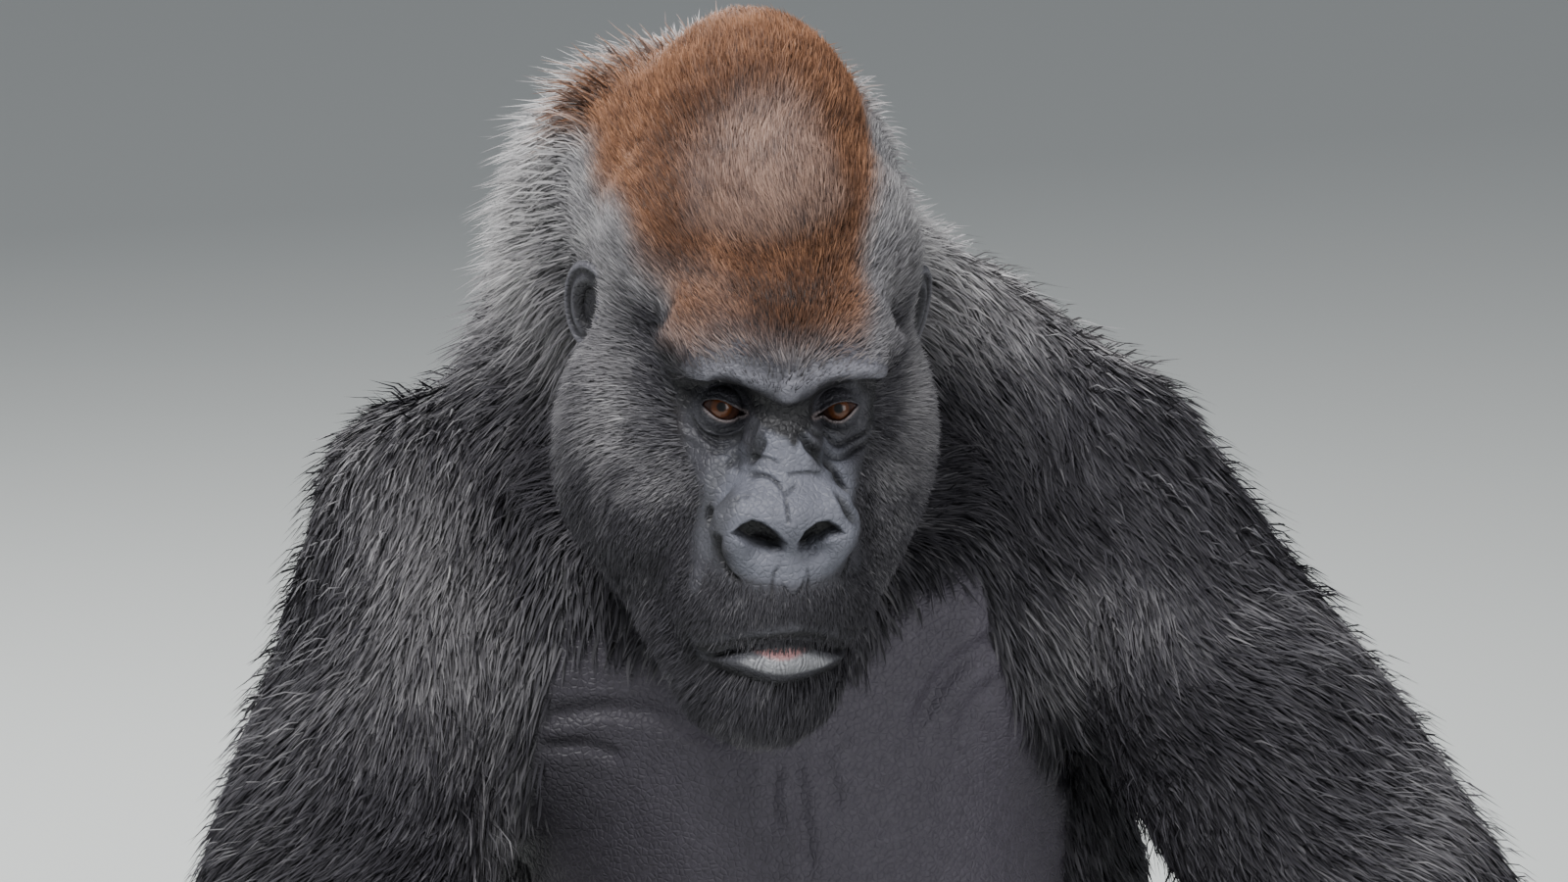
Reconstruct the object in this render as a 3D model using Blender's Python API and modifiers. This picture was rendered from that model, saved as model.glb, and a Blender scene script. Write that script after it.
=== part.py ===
"""A silverback western lowland gorilla, sitting and leaning forward on the knuckles of both hands.

Life size, in metres, +Z up. It faces -Y, so its left side is at +X. The body is built up from masses of
muscle, belly and coat, out to the tips of the hair. They are melted into one hide, which is parted by thin
cuts and planed flat where it meets the floor.
"""
import math

import bmesh
import bpy
from mathutils import Matrix, Vector
from mathutils.bvhtree import BVHTree

SIDES = {"right": -1, "left": 1}
UP = Vector((0, 0, 1))
AHEAD = Vector((0, 1, 0))
MIDDLE = 0.046           # of the belly, sideways
RAY = Vector((0.31, 0.17, 0.93)).normalized()

# ---------------------------------------------------------------- the pose, as joint centres
SHOULDER = {"right": Vector((-0.213, -0.170, 0.682)), "left": Vector((0.195, -0.162, 0.708))}
ELBOW = {"right": Vector((-0.305, -0.405, 0.350)), "left": Vector((0.405, -0.405, 0.430))}
WRIST = {"right": Vector((-0.325, -0.665, 0.150)), "left": Vector((0.375, -0.640, 0.150))}
HIP = {"right": Vector((-0.065, 0.010, 0.155)), "left": Vector((0.185, 0.010, 0.155))}
KNEE = {"right": Vector((-0.275, -0.245, 0.235)), "left": Vector((0.395, -0.250, 0.235))}
ANKLE = {"right": Vector((-0.085, -0.450, 0.085)), "left": Vector((0.205, -0.450, 0.085))}
HEAD_ORIGIN = Vector((-0.015, -0.366, 0.8335))   # midway between the ear holes
HEAD_YAW = math.radians(9)        # the face turns to the animal's left
HEAD_PITCH = math.radians(19)     # and looks down
HEAD_ROLL = math.radians(3)       # with the chin swung to its right

# ---------------------------------------------------------------- the made surface
BODY_VOXEL = 0.010
HEAD_VOXEL = 0.0035
HIDE_VOXEL = 0.0042
HIDE_TRIANGLES = 9000
FACE_SHARE = 0.75        # of its triangles that a part of the face keeps once it is cut out
BODY_SHARE = 0.46        # and any other part
GAP = 0.0004             # the width of each thin cut
FLOOR_SINK = 0.004       # how much of each resting mass is planed off at the floor
FLOOR_BLOCK = 3.0
EYE_RADIUS = 0.0120


# ================================================================ tools
def add_ball(mesh, centre, radii, turn=None, fineness=3):
    """An ellipsoid of the given radii, turned by a rotation matrix."""
    frame = (turn or Matrix.Identity(3)).to_4x4()
    place = Matrix.Translation(centre) @ frame @ Matrix.Diagonal((*radii, 1))
    bmesh.ops.create_icosphere(mesh, subdivisions=fineness, radius=1, matrix=place)


def add_limb(mesh, stations):
    """A rounded, tapering chain through (centre, radius) stations."""
    for centre, radius in stations:
        add_ball(mesh, centre, (radius, radius, radius))
    for (start, wide), (end, narrow) in zip(stations, stations[1:]):
        along = end - start
        turn = along.to_track_quat("Z", "Y").to_matrix().to_4x4()
        bmesh.ops.create_cone(mesh, cap_ends=True, segments=24, radius1=wide, radius2=narrow,
                              depth=along.length, matrix=Matrix.Translation((start + end) / 2) @ turn)


def object_of(name, mesh):
    data = bpy.data.meshes.new(name)
    mesh.to_mesh(data)
    mesh.free()
    made = bpy.data.objects.new(name, data)
    bpy.context.scene.collection.objects.link(made)
    return made


def applied(made):
    """Bakes the object's modifiers into its mesh."""
    graph = bpy.context.evaluated_depsgraph_get()
    data = bpy.data.meshes.new_from_object(made.evaluated_get(graph))
    made.modifiers.clear()
    made.data = data
    return made


def melt(made, voxel, rounds):
    """Melts overlapping masses into one skin and smooths it."""
    remesh = made.modifiers.new("melt", "REMESH")
    remesh.mode = "VOXEL"
    remesh.voxel_size = voxel
    smooth = made.modifiers.new("smooth", "SMOOTH")
    smooth.factor = 0.5
    smooth.iterations = rounds
    return applied(made)


def thin(made, share):
    """Thins a mesh to a share of its triangles."""
    collapse = made.modifiers.new("thin", "DECIMATE")
    collapse.use_collapse_triangulate = True
    collapse.ratio = share
    return applied(made)


def cut_with(made, tool):
    """Cuts a mesh with a tool, which is used up."""
    cut = made.modifiers.new("cut", "BOOLEAN")
    cut.operation = "DIFFERENCE"
    cut.solver = "EXACT"
    cut.object = tool
    applied(made)
    bpy.data.objects.remove(tool)
    return made


def about(axis, degrees):
    return Matrix.Rotation(math.radians(degrees), 3, axis)


# ================================================================ the head's own frame
FORWARD = Vector((math.sin(HEAD_YAW) * math.cos(HEAD_PITCH), -math.cos(HEAD_YAW) * math.cos(HEAD_PITCH),
                  -math.sin(HEAD_PITCH)))
LEVEL_SIDE = Vector((math.cos(HEAD_YAW), math.sin(HEAD_YAW), 0))
LEVEL_UP = FORWARD.cross(LEVEL_SIDE)
HEAD_SIDE = LEVEL_SIDE * math.cos(HEAD_ROLL) - LEVEL_UP * math.sin(HEAD_ROLL)
HEAD_UP = LEVEL_UP * math.cos(HEAD_ROLL) + LEVEL_SIDE * math.sin(HEAD_ROLL)
HEAD_TURN = Matrix((HEAD_SIDE, -FORWARD, HEAD_UP)).transposed()


def head(side, forward, up):
    """A point of the head, in centimetres to its left, forward and up from between the ear holes."""
    return HEAD_ORIGIN + (HEAD_SIDE * side + FORWARD * forward + HEAD_UP * up) / 100


def add_head_ball(mesh, side, forward, up, radii, turn=None, fineness=3):
    """An ellipsoid of the head, its centre and radii in centimetres along the head's own axes."""
    frame = HEAD_TURN @ turn if turn else HEAD_TURN
    add_ball(mesh, head(side, forward, up), [radius / 100 for radius in radii], frame, fineness)


# ================================================================ trunk: barrel chest, belly, rump and nape
SPINE = (       # each mass of the back, from the rump up: centre, radii
    ((0.060, 0.040, 0.180), (0.215, 0.200, 0.188)),
    ((0.040, 0.010, 0.420), (0.205, 0.190, 0.200)),
    ((0.000, -0.040, 0.600), (0.222, 0.170, 0.180)),
    ((-0.018, -0.110, 0.755), (0.165, 0.135, 0.130)),
    ((-0.045, -0.210, 0.877), (0.122, 0.125, 0.125)),
)
FRONT = (       # and of the front, from the belly up
    ((0.045, -0.100, 0.270), (0.240, 0.245, 0.215)),
    ((0.000, -0.130, 0.545), (0.207, 0.212, 0.215)),
    ((-0.008, -0.165, 0.650), (0.205, 0.165, 0.140)),
)


NECK_SLOPE = {"right": 0.055, "left": 0.067}     # height over the shoulder joint of the muscle beside the neck
SWEEP_STEPS = 5


def add_sweep(mesh, stations):
    """Ellipsoids run together from station to station."""
    for (start, narrow), (end, wide) in zip(stations, stations[1:]):
        for step in range(SWEEP_STEPS + 1):
            share = step / SWEEP_STEPS
            add_ball(mesh, Vector(start).lerp(Vector(end), share), Vector(narrow).lerp(Vector(wide), share))


def trunk_masses():
    mesh = bmesh.new()
    add_sweep(mesh, SPINE)
    add_sweep(mesh, FRONT)
    for name, side in SIDES.items():
        joint = SHOULDER[name]
        add_ball(mesh, joint + Vector((-side * 0.075, 0.065, -0.030)), (0.118, 0.100, 0.140))   # shoulder blade
        add_ball(mesh, joint + Vector((-side * 0.100, -0.085, -0.085)), (0.125, 0.065, 0.100),
                 about("Y", side * 20))                                                      # chest muscle
        add_limb(mesh, [(Vector((-0.040, -0.170, 0.840)), 0.100),
                        (joint + Vector((-side * 0.085, 0.025, NECK_SLOPE[name])), 0.080),
                        (joint, 0.085)])                                                     # slope of the neck
        add_limb(mesh, [(HIP[name], 0.135), (HIP[name].lerp(KNEE[name], 0.45), 0.115)])      # buttock and thigh
    return melt(object_of("trunk_masses", mesh), BODY_VOXEL, 30)


# ================================================================ arms and legs, with the coat on them
def limb_masses():
    mesh = bmesh.new()
    for name, side in SIDES.items():
        shoulder, elbow, wrist = SHOULDER[name], ELBOW[name], WRIST[name]
        add_limb(mesh, [(shoulder, 0.091),
                        (shoulder.lerp(elbow, 0.25), 0.091),
                        (shoulder.lerp(elbow, 0.60), 0.100),
                        (shoulder.lerp(elbow, 0.88), 0.098),
                        (elbow + Vector((side * 0.004, 0.010, 0)), 0.091),
                        (elbow.lerp(wrist, 0.30), 0.089),
                        (elbow.lerp(wrist, 0.70), 0.067),
                        (wrist, 0.047)])
        hip, knee, ankle = HIP[name], KNEE[name], ANKLE[name]
        add_limb(mesh, [(hip, 0.128), (hip.lerp(knee, 0.55), 0.110), (knee, 0.080),
                        (knee.lerp(ankle, 0.35), 0.073), (knee.lerp(ankle, 0.75), 0.055),
                        (ankle, 0.046)])
    return melt(object_of("limb_masses", mesh), BODY_VOXEL, 8)


# ================================================================ hands, resting on the middle knuckles
FINGER_SPREAD = (-0.0525, -0.0175, 0.0175, 0.0525)
FINGER_LENGTH = (0.90, 1.0, 1.02, 0.92)     # from the index to the little finger


def hand_masses():
    mesh = bmesh.new()
    for name, side in SIDES.items():
        wrist = WRIST[name]
        add_ball(mesh, wrist + Vector((0, -0.016, -0.044)), (0.052, 0.026, 0.040), about("X", 18))
        for spread, length in zip(FINGER_SPREAD, FINGER_LENGTH):
            across = side * spread
            fist = wrist + Vector((across, -0.034, -0.078))
            bend = wrist + Vector((across * 1.06, -0.034 - 0.040 * length, -0.1315))
            joint = wrist + Vector((across * 1.02, -0.034 + 0.004 * length, -0.1335))
            tip = wrist + Vector((across * 0.98, -0.012, -0.1180))
            add_limb(mesh, [(wrist + Vector((across * 0.45, 0, 0)), 0.026), (fist, 0.0190)])
            add_limb(mesh, [(fist, 0.0175), (bend, 0.0165), (joint, 0.0150), (tip, 0.0120)])
        inner = -side
        add_limb(mesh, [(wrist + Vector((inner * 0.034, -0.008, -0.030)), 0.021),
                        (wrist + Vector((inner * 0.068, -0.020, -0.052)), 0.0155),
                        (wrist + Vector((inner * 0.092, -0.028, -0.070)), 0.0125)])      # thumb
    return melt(object_of("hand_masses", mesh), 0.0035, 3)


# ================================================================ feet, flat on the floor
TOE_SPREAD = (-0.008, 0.021, 0.048, 0.072)
FOOT_TURN = 14      # degrees that each foot points outward


def foot_point(name, out, ahead, height):
    """A point of the foot: out from the middle, ahead of the ankle and over the floor."""
    turn = about("Z", SIDES[name] * FOOT_TURN)
    return Vector((ANKLE[name].x, ANKLE[name].y, 0)) + turn @ Vector((SIDES[name] * out, -ahead, height))


def foot_masses():
    mesh = bmesh.new()
    for name, side in SIDES.items():
        ankle = ANKLE[name]
        add_limb(mesh, [(ankle, 0.044), (foot_point(name, 0, -0.030, 0.036), 0.040)])     # heel
        add_limb(mesh, [(foot_point(name, 0, -0.010, 0.050), 0.042),
                        (foot_point(name, 0.018, 0.110, 0.026), 0.029)])                  # instep
        add_limb(mesh, [(foot_point(name, 0.004, -0.020, 0.036), 0.038),
                        (foot_point(name, 0.050, 0.105, 0.020), 0.023)])                  # outer edge
        add_ball(mesh, foot_point(name, 0.026, 0.085, 0.024), (0.050, 0.062, 0.026),
                 about("Z", side * FOOT_TURN))                                            # ball of the foot
        for number, out in enumerate(TOE_SPREAD):
            reach = 0.168 - 0.010 * number
            add_limb(mesh, [(foot_point(name, out, 0.100, 0.022), 0.0185),
                            (foot_point(name, out * 1.12, reach - 0.012, 0.021), 0.0150),
                            (foot_point(name, out * 1.16, reach + 0.018, 0.0125), 0.0135)])
        add_limb(mesh, [(foot_point(name, -0.012, 0.030, 0.028), 0.026),
                        (foot_point(name, -0.052, 0.085, 0.022), 0.0205),
                        (foot_point(name, -0.066, 0.132, 0.0175), 0.0185)])               # big toe, set off
    return melt(object_of("foot_masses", mesh), 0.0040, 4)


# ================================================================ head
EYE = (3.62, 11.0, 1.92)      # in the head's centimetres


def skull_masses():
    """Brain case, crest, temples and cheeks, with their coat."""
    mesh = bmesh.new()
    add_head_ball(mesh, 0, -0.5, 5.0, (8.9, 11.0, 8.4))                       # brain case
    add_head_ball(mesh, 0, -6.5, 9.8, (7.6, 10.5, 9.4))                       # crest and its pad
    add_head_ball(mesh, 0, 0.8, 8.6, (6.3, 8.8, 7.9))                         # forehead
    add_head_ball(mesh, 0, 5.8, -1.0, (8.6, 6.4, 8.2))                        # middle of the face
    add_head_ball(mesh, 0, 6.0, 6.2, (7.3, 6.4, 4.6))                         # root of the brow
    for side in SIDES.values():
        add_head_ball(mesh, side * 4.6, -1.0, 6.0, (5.9, 8.6, 7.2))           # temple muscle
        add_head_ball(mesh, side * 7.3, 2.0, -5.8, (5.2, 6.6, 9.4))           # jaw muscle and cheek coat
        add_head_ball(mesh, side * 5.6, 7.0, -7.0, (4.8, 5.8, 6.8))           # front of the cheek
    return melt(object_of("skull_masses", mesh), 0.006, 18)


def face_masses():
    """Brow, nose, lips and chin."""
    mesh = bmesh.new()
    brow = [(-7.0, 9.4, 5.0), (-4.2, 11.9, 6.1), (0, 12.7, 5.7), (4.2, 11.9, 6.1), (7.0, 9.4, 5.0)]
    widths = (1.6, 1.85, 1.9, 1.85, 1.6)
    add_limb(mesh, [(head(*place), width / 100) for place, width in zip(brow, widths)])
    add_limb(mesh, [(head(-5.2, 8.2, 6.9), 0.022), (head(0, 10.2, 7.6), 0.025),
                    (head(5.2, 8.2, 6.9), 0.022)])                            # root of the forehead over it
    add_head_ball(mesh, 0, 5.8, -1.0, (8.2, 6.2, 7.8))                        # middle of the face
    add_limb(mesh, [(head(0, 11.2, 4.6), 0.020), (head(0, 14.4, -0.8), 0.025)])           # bridge of the nose
    add_head_ball(mesh, 0, 11.5, -8.0, (6.1, 8.5, 5.9))                       # muzzle
    add_limb(mesh, [(head(-3.2, 15.2, -8.9), 0.031), (head(3.2, 15.2, -8.9), 0.031)])     # upper lip
    add_head_ball(mesh, 0, 12.9, -14.2, (5.4, 6.9, 5.4))                      # chin
    add_limb(mesh, [(head(-4.4, 16.4, -11.3), 0.009), (head(0, 19.2, -11.7), 0.011),
                    (head(4.4, 16.4, -11.3), 0.009)])                         # lower lip
    add_head_ball(mesh, 0, 17.7, -2.1, (1.9, 1.6, 1.8))                       # tip of the nose
    for side in SIDES.values():
        add_head_ball(mesh, side * 5.4, 8.8, -1.4, (3.2, 2.5, 2.2))           # cheekbone
        add_head_ball(mesh, side * 3.4, 12.0, -3.6, (2.4, 2.6, 3.6))          # side of the nose
        add_head_ball(mesh, side * 2.45, 16.9, -3.1, (2.25, 2.0, 2.8), about("Y", side * 12))   # its wing
        add_limb(mesh, [(head(side * 2.4, 13.6, -13.6), 0.032), (head(side * 6.9, 2.4, -10.6), 0.042)])
    return melt(object_of("face_masses", mesh), HEAD_VOXEL, 8)


def neck_masses():
    mesh = bmesh.new()
    add_limb(mesh, [(head(0, -5.0, 4.6), 0.105), (head(0, -12.0, 3.6), 0.116),
                    (Vector((-0.035, -0.150, 0.800)), 0.130)])
    add_limb(mesh, [(head(0, -1.5, -6.0), 0.080), (Vector((0.0, -0.200, 0.690)), 0.105)])    # throat
    return melt(object_of("neck_masses", mesh), BODY_VOXEL, 10)


# ================================================================ one hide
def make_hide():
    pieces = [trunk_masses(), limb_masses(), hand_masses(), foot_masses(), skull_masses(), face_masses(),
              neck_masses()]
    mesh = bmesh.new()
    for piece in pieces:
        mesh.from_mesh(piece.data)
        bpy.data.objects.remove(piece)
    whole = melt(object_of("hide", mesh), HIDE_VOXEL, 5)
    return thin(whole, HIDE_TRIANGLES / (2 * len(whole.data.polygons)))


def face_hollows():
    """The eye sockets and the nostrils, as one tool."""
    mesh = bmesh.new()
    side_at, forward, height = EYE
    socket = EYE_RADIUS + GAP
    for side in SIDES.values():
        add_ball(mesh, head(side * side_at, forward, height), (socket, socket, socket))
        add_head_ball(mesh, side * 1.7, 18.9, -3.7, (1.05, 1.5, 0.8), about("Y", side * -24))
    return object_of("face_hollows", mesh)


# ================================================================ thin cuts
def knife(centre, normal, reach, upright=UP, square=False):
    """A thin sheet across `normal`, round or square: `reach` is its half width and its half height."""
    face = normal.normalized()
    tall = (upright - face * upright.dot(face)).normalized()
    place = Matrix.Translation(centre) @ Matrix((tall.cross(face), tall, face)).transposed().to_4x4()
    place = place @ Matrix.Diagonal((*reach, GAP, 1))
    mesh = bmesh.new()
    if square:
        bmesh.ops.create_cube(mesh, size=1, matrix=place @ Matrix.Diagonal((2, 2, 1, 1)))
    else:
        bmesh.ops.create_cone(mesh, cap_ends=True, segments=40, radius1=1, radius2=1, depth=1, matrix=place)
    return object_of("knife", mesh)


def head_knives():
    """Cuts behind the head and round the snout: the three of the snout meet edge to edge."""
    snout, half_width = 10.2, 0.115
    top, mouth, front, bottom = 0.35, -9.9, 22.5, -19.5
    yield knife(Vector((-0.018, -0.323, 0.850)), Vector((0.05, -1, 0.20)), (0.190, 0.235))
    yield knife(head(0, snout, (top + bottom) / 2), FORWARD, (half_width, (top - bottom) / 200), HEAD_UP, True)
    for height in (top, mouth):
        yield knife(head(0, (snout + front) / 2, height), HEAD_UP, (half_width, (front - snout) / 200 + GAP / 2),
                    FORWARD, True)


ARMPIT = {      # where each arm is parted from the chest: a point of the cut and its direction
    "right": (Vector((-0.200, -0.160, 0.622)), Vector((-1, -0.30, 0.06))),
    "left": (Vector((0.178, -0.152, 0.648)), Vector((1, -0.25, 0.32))),
}


def body_knives():
    yield knife(Vector((0.022, -0.075, 0.430)), Vector((0, -0.15, 1)), (0.255, 0.310), AHEAD)    # waist
    for name, side in SIDES.items():
        shoulder, elbow, wrist = SHOULDER[name], ELBOW[name], WRIST[name]
        hip, knee, ankle = HIP[name], KNEE[name], ANKLE[name]
        yield knife(*ARMPIT[name], (0.220, 0.255))
        yield knife(elbow, wrist - shoulder, (0.120, 0.120))
        yield knife(wrist, Vector((0, -0.30, -1)) + (wrist - elbow).normalized(), (0.075, 0.075), AHEAD)
        yield knife(wrist + Vector((-side * 0.004, -0.038, -0.084)), Vector((0, -0.55, -1)), (0.082, 0.034),
                    AHEAD, True)
        yield knife(Vector((MIDDLE + side * 0.196, -0.090, 0.180)), Vector((side, -0.25, -0.30)), (0.270, 0.230),
                    UP, True)
        yield knife(knee - UP * 0.02, (knee - hip).normalized() + (ankle - knee).normalized(), (0.128, 0.150),
                    UP, True)
        yield knife(knee.lerp(ankle, 0.85), ankle - knee, (0.080, 0.075))
    yield knife(Vector((-0.045, -0.175, 0.785)), Vector((0, -0.61, 0.79)), (0.190, 0.215), AHEAD, True)   # neck


# ================================================================ the named parts of the hide
def part_points():
    """A point inside each named part."""
    points = {"head": head(0, 0, 4), "muzzle": head(0, 14, -5), "lower_jaw": head(0, 13, -13),
              "neck": Vector((-0.03, -0.20, 0.84)), "chest": Vector((0, -0.12, 0.55)),
              "belly_and_rump": Vector((0.05, -0.05, 0.25))}
    for name, side in SIDES.items():
        shoulder, elbow, wrist = SHOULDER[name], ELBOW[name], WRIST[name]
        hip, knee, ankle = HIP[name], KNEE[name], ANKLE[name]
        points["upper_arm_" + name] = shoulder.lerp(elbow, 0.5)
        points["forearm_" + name] = elbow.lerp(wrist, 0.5)
        points["hand_" + name] = wrist + Vector((0, -0.020, -0.045))
        points["fingers_" + name] = wrist + Vector((side * 0.0175, -0.060, -0.118))
        points["thigh_" + name] = hip.lerp(knee, 0.75)
        points["shin_" + name] = knee.lerp(ankle, 0.5)
        points["foot_" + name] = foot_point(name, 0.015, 0.050, 0.030)
    return points


def loose_parts(whole):
    """The closed shells of a mesh, each as a mesh of its own."""
    mesh = bmesh.new()
    mesh.from_mesh(whole.data)
    waiting = {vertex.index for vertex in mesh.verts}
    mesh.verts.ensure_lookup_table()
    while waiting:
        shell, front = set(), [mesh.verts[min(waiting)]]
        while front:
            vertex = front.pop()
            if vertex.index not in shell:
                shell.add(vertex.index)
                front += [link.other_vert(vertex) for link in vertex.link_edges]
        waiting -= shell
        piece = bmesh.new()
        piece.from_mesh(whole.data)
        bmesh.ops.delete(piece, geom=[v for v in piece.verts if v.index not in shell], context="VERTS")
        yield piece
    mesh.free()


def holds(tree, point):
    """Whether a closed mesh has the point inside it: a ray from there leaves it an odd number of times."""
    crossings = 0
    spot = tree.ray_cast(point, RAY)[0]
    while spot:
        crossings += 1
        spot = tree.ray_cast(spot + RAY * 1e-6, RAY)[0]
    return crossings % 2 == 1


def floor_block():
    """A block whose top is where the body is planed off."""
    mesh = bmesh.new()
    bmesh.ops.create_cube(mesh, size=FLOOR_BLOCK,
                          matrix=Matrix.Translation((0, 0, FLOOR_SINK - FLOOR_BLOCK / 2)))
    return object_of("floor_block", mesh)


def part_hide(whole):
    """Cuts the hide up, gives each piece the name of the point inside it, and planes it flat at the floor."""
    for sheet in (*head_knives(), *body_knives()):
        cut_with(whole, sheet)
    parts = []
    for piece in loose_parts(whole):
        tree = BVHTree.FromBMesh(piece)
        names = [name for name, point in part_points().items() if holds(tree, point)]
        assert len(names) == 1, names
        share = FACE_SHARE if names[0] in ("head", "muzzle", "lower_jaw") else BODY_SHARE
        parts.append(cut_with(thin(object_of(names[0], piece), share), floor_block()))
    bpy.data.objects.remove(whole)
    return parts


# ================================================================ eyes and ears
def make_eyes():
    for name, side in SIDES.items():
        mesh = bmesh.new()
        side_at, forward, height = EYE
        add_ball(mesh, head(side * side_at, forward, height), [EYE_RADIUS] * 3, fineness=2)
        yield object_of("eye_" + name, mesh)


def make_ears(whole):
    """Thin, upright ears that stand off behind, each hollowed in front and fitted to the side of the head."""
    for name, side in SIDES.items():
        flare = about("Z", side * -38)
        shell, hollow = bmesh.new(), bmesh.new()
        add_head_ball(shell, side * 10.3, -1.0, 2.1, (0.85, 2.1, 3.1), flare, fineness=2)
        add_head_ball(hollow, side * 11.2, -0.1, 2.2, (0.95, 1.2, 2.1), flare, fineness=2)
        ear = cut_with(object_of("ear_" + name, shell), object_of("hollow", hollow))
        cut_with(ear, copy_of(whole))
        ear.data.transform(Matrix.Translation(HEAD_SIDE * side * GAP))
        yield ear


def copy_of(made):
    twin = made.copy()
    twin.data = made.data.copy()
    bpy.context.scene.collection.objects.link(twin)
    return twin


# ================================================================ finish
FINISHES = {            # colour and roughness
    "crown_coat": ((0.24, 0.12, 0.06, 1), 0.85),
    "silver_coat": ((0.40, 0.39, 0.38, 1), 0.85),
    "dark_coat": ((0.045, 0.042, 0.046, 1), 0.80),
    "bare_skin": ((0.035, 0.034, 0.040, 1), 0.50),
    "eye": ((0.10, 0.035, 0.012, 1), 0.08),
}
SLOTS = {"head": "crown_coat", "neck": "silver_coat", "belly_and_rump": "silver_coat", "muzzle": "bare_skin",
         "lower_jaw": "bare_skin", "chest": "bare_skin", "hand": "bare_skin", "fingers": "bare_skin",
         "foot": "bare_skin", "ear": "bare_skin", "eye": "eye"}


def make_finish(name):
    colour, roughness = FINISHES[name]
    finish = bpy.data.materials.new(name)
    finish.use_nodes = True
    shader = finish.node_tree.nodes["Principled BSDF"]
    shader.inputs["Base Color"].default_value = colour
    shader.inputs["Roughness"].default_value = roughness
    shader.inputs["Metallic"].default_value = 0
    return finish


def slot_of(name):
    """The finish of a part: a limb's is that of its name without the side."""
    return SLOTS.get(name, SLOTS.get(name.rsplit("_", 1)[0], "dark_coat"))


# ================================================================ build
def set_on_origin(parts):
    """Moves the meshes so that the origin is on the floor under the middle of the animal."""
    corners = [vertex.co for part in parts for vertex in part.data.vertices]
    low = Vector([min(corner[axis] for corner in corners) for axis in range(3)])
    high = Vector([max(corner[axis] for corner in corners) for axis in range(3)])
    shift = Vector((-(low.x + high.x) / 2, -(low.y + high.y) / 2, -low.z))
    for part in parts:
        part.data.transform(Matrix.Translation(shift))


def main():
    for old in list(bpy.data.objects):
        bpy.data.objects.remove(old)
    whole = make_hide()
    ears = list(make_ears(whole))
    parts = part_hide(cut_with(whole, face_hollows())) + ears + list(make_eyes())
    set_on_origin(parts)
    gorilla = bpy.data.collections.new("gorilla")
    bpy.context.scene.collection.children.link(gorilla)
    finishes = {name: make_finish(name) for name in FINISHES}
    for part in parts:
        part.data.materials.clear()
        part.data.materials.append(finishes[slot_of(part.name)])
        bpy.context.scene.collection.objects.unlink(part)
        gorilla.objects.link(part)


main()
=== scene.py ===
"""A silverback western lowland gorilla, sitting and leaning forward on the knuckles of both hands.

One skin lies inside the solids by the depth of the coat, with the folds, lids and lips of the face worked
into it. The hair is laid over it in tufts, and the eyes, ears and nails are pieces of their own.
"""
import math

import bmesh
import bpy
import numpy as np
from mathutils import Matrix, Vector
from mathutils.bvhtree import BVHTree
from mathutils.kdtree import KDTree


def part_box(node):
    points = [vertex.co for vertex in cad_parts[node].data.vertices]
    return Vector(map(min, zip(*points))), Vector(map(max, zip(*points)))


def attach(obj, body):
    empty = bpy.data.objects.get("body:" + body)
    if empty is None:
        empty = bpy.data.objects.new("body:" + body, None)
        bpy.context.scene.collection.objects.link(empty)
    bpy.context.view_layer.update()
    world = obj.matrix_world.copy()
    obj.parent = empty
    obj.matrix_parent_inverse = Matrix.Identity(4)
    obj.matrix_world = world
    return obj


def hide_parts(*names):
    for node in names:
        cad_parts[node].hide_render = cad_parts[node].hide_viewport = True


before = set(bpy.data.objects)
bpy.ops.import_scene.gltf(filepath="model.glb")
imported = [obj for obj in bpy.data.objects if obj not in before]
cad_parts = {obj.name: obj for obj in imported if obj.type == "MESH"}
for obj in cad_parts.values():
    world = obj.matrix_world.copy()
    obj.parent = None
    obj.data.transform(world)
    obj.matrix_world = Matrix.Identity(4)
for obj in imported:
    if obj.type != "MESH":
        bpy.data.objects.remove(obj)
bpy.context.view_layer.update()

# ---------------------------------------------------------------- where the head and the limbs lie
# The head has its own directions: sideways to the animal's left, forward out of the face, and up. Its
# places are in centimetres from between the ear holes, and the eyeballs fix them. The limbs' joints follow
# from it.
FACE_YAW, FACE_PITCH = math.radians(9), math.radians(19)
EYE_AHEAD, EYE_UP = 0.110, 0.0192
eye_centre = {side: sum(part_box("eye_" + side), Vector()) / 2 for side in ("right", "left")}
FORWARD = Vector((math.sin(FACE_YAW) * math.cos(FACE_PITCH), -math.cos(FACE_YAW) * math.cos(FACE_PITCH),
                  -math.sin(FACE_PITCH)))
SIDEWAYS = (eye_centre["left"] - eye_centre["right"]).normalized()
UPWARD = FORWARD.cross(SIDEWAYS)
between_eyes = (eye_centre["right"] + eye_centre["left"]) / 2
head_middle = between_eyes - FORWARD * EYE_AHEAD - UPWARD * EYE_UP
HEAD_AXES = np.array([SIDEWAYS, FORWARD, UPWARD])
SIDES = {"right": -1, "left": 1}


def in_head(points):
    """Points in centimetres sideways, forward and up in the head."""
    return (np.asarray(points) - np.array(head_middle)) @ HEAD_AXES.T * 100


def from_head(places):
    """Places in the head's centimetres as points in metres."""
    return np.asarray(places) / 100 @ HEAD_AXES + np.array(head_middle)


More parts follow.
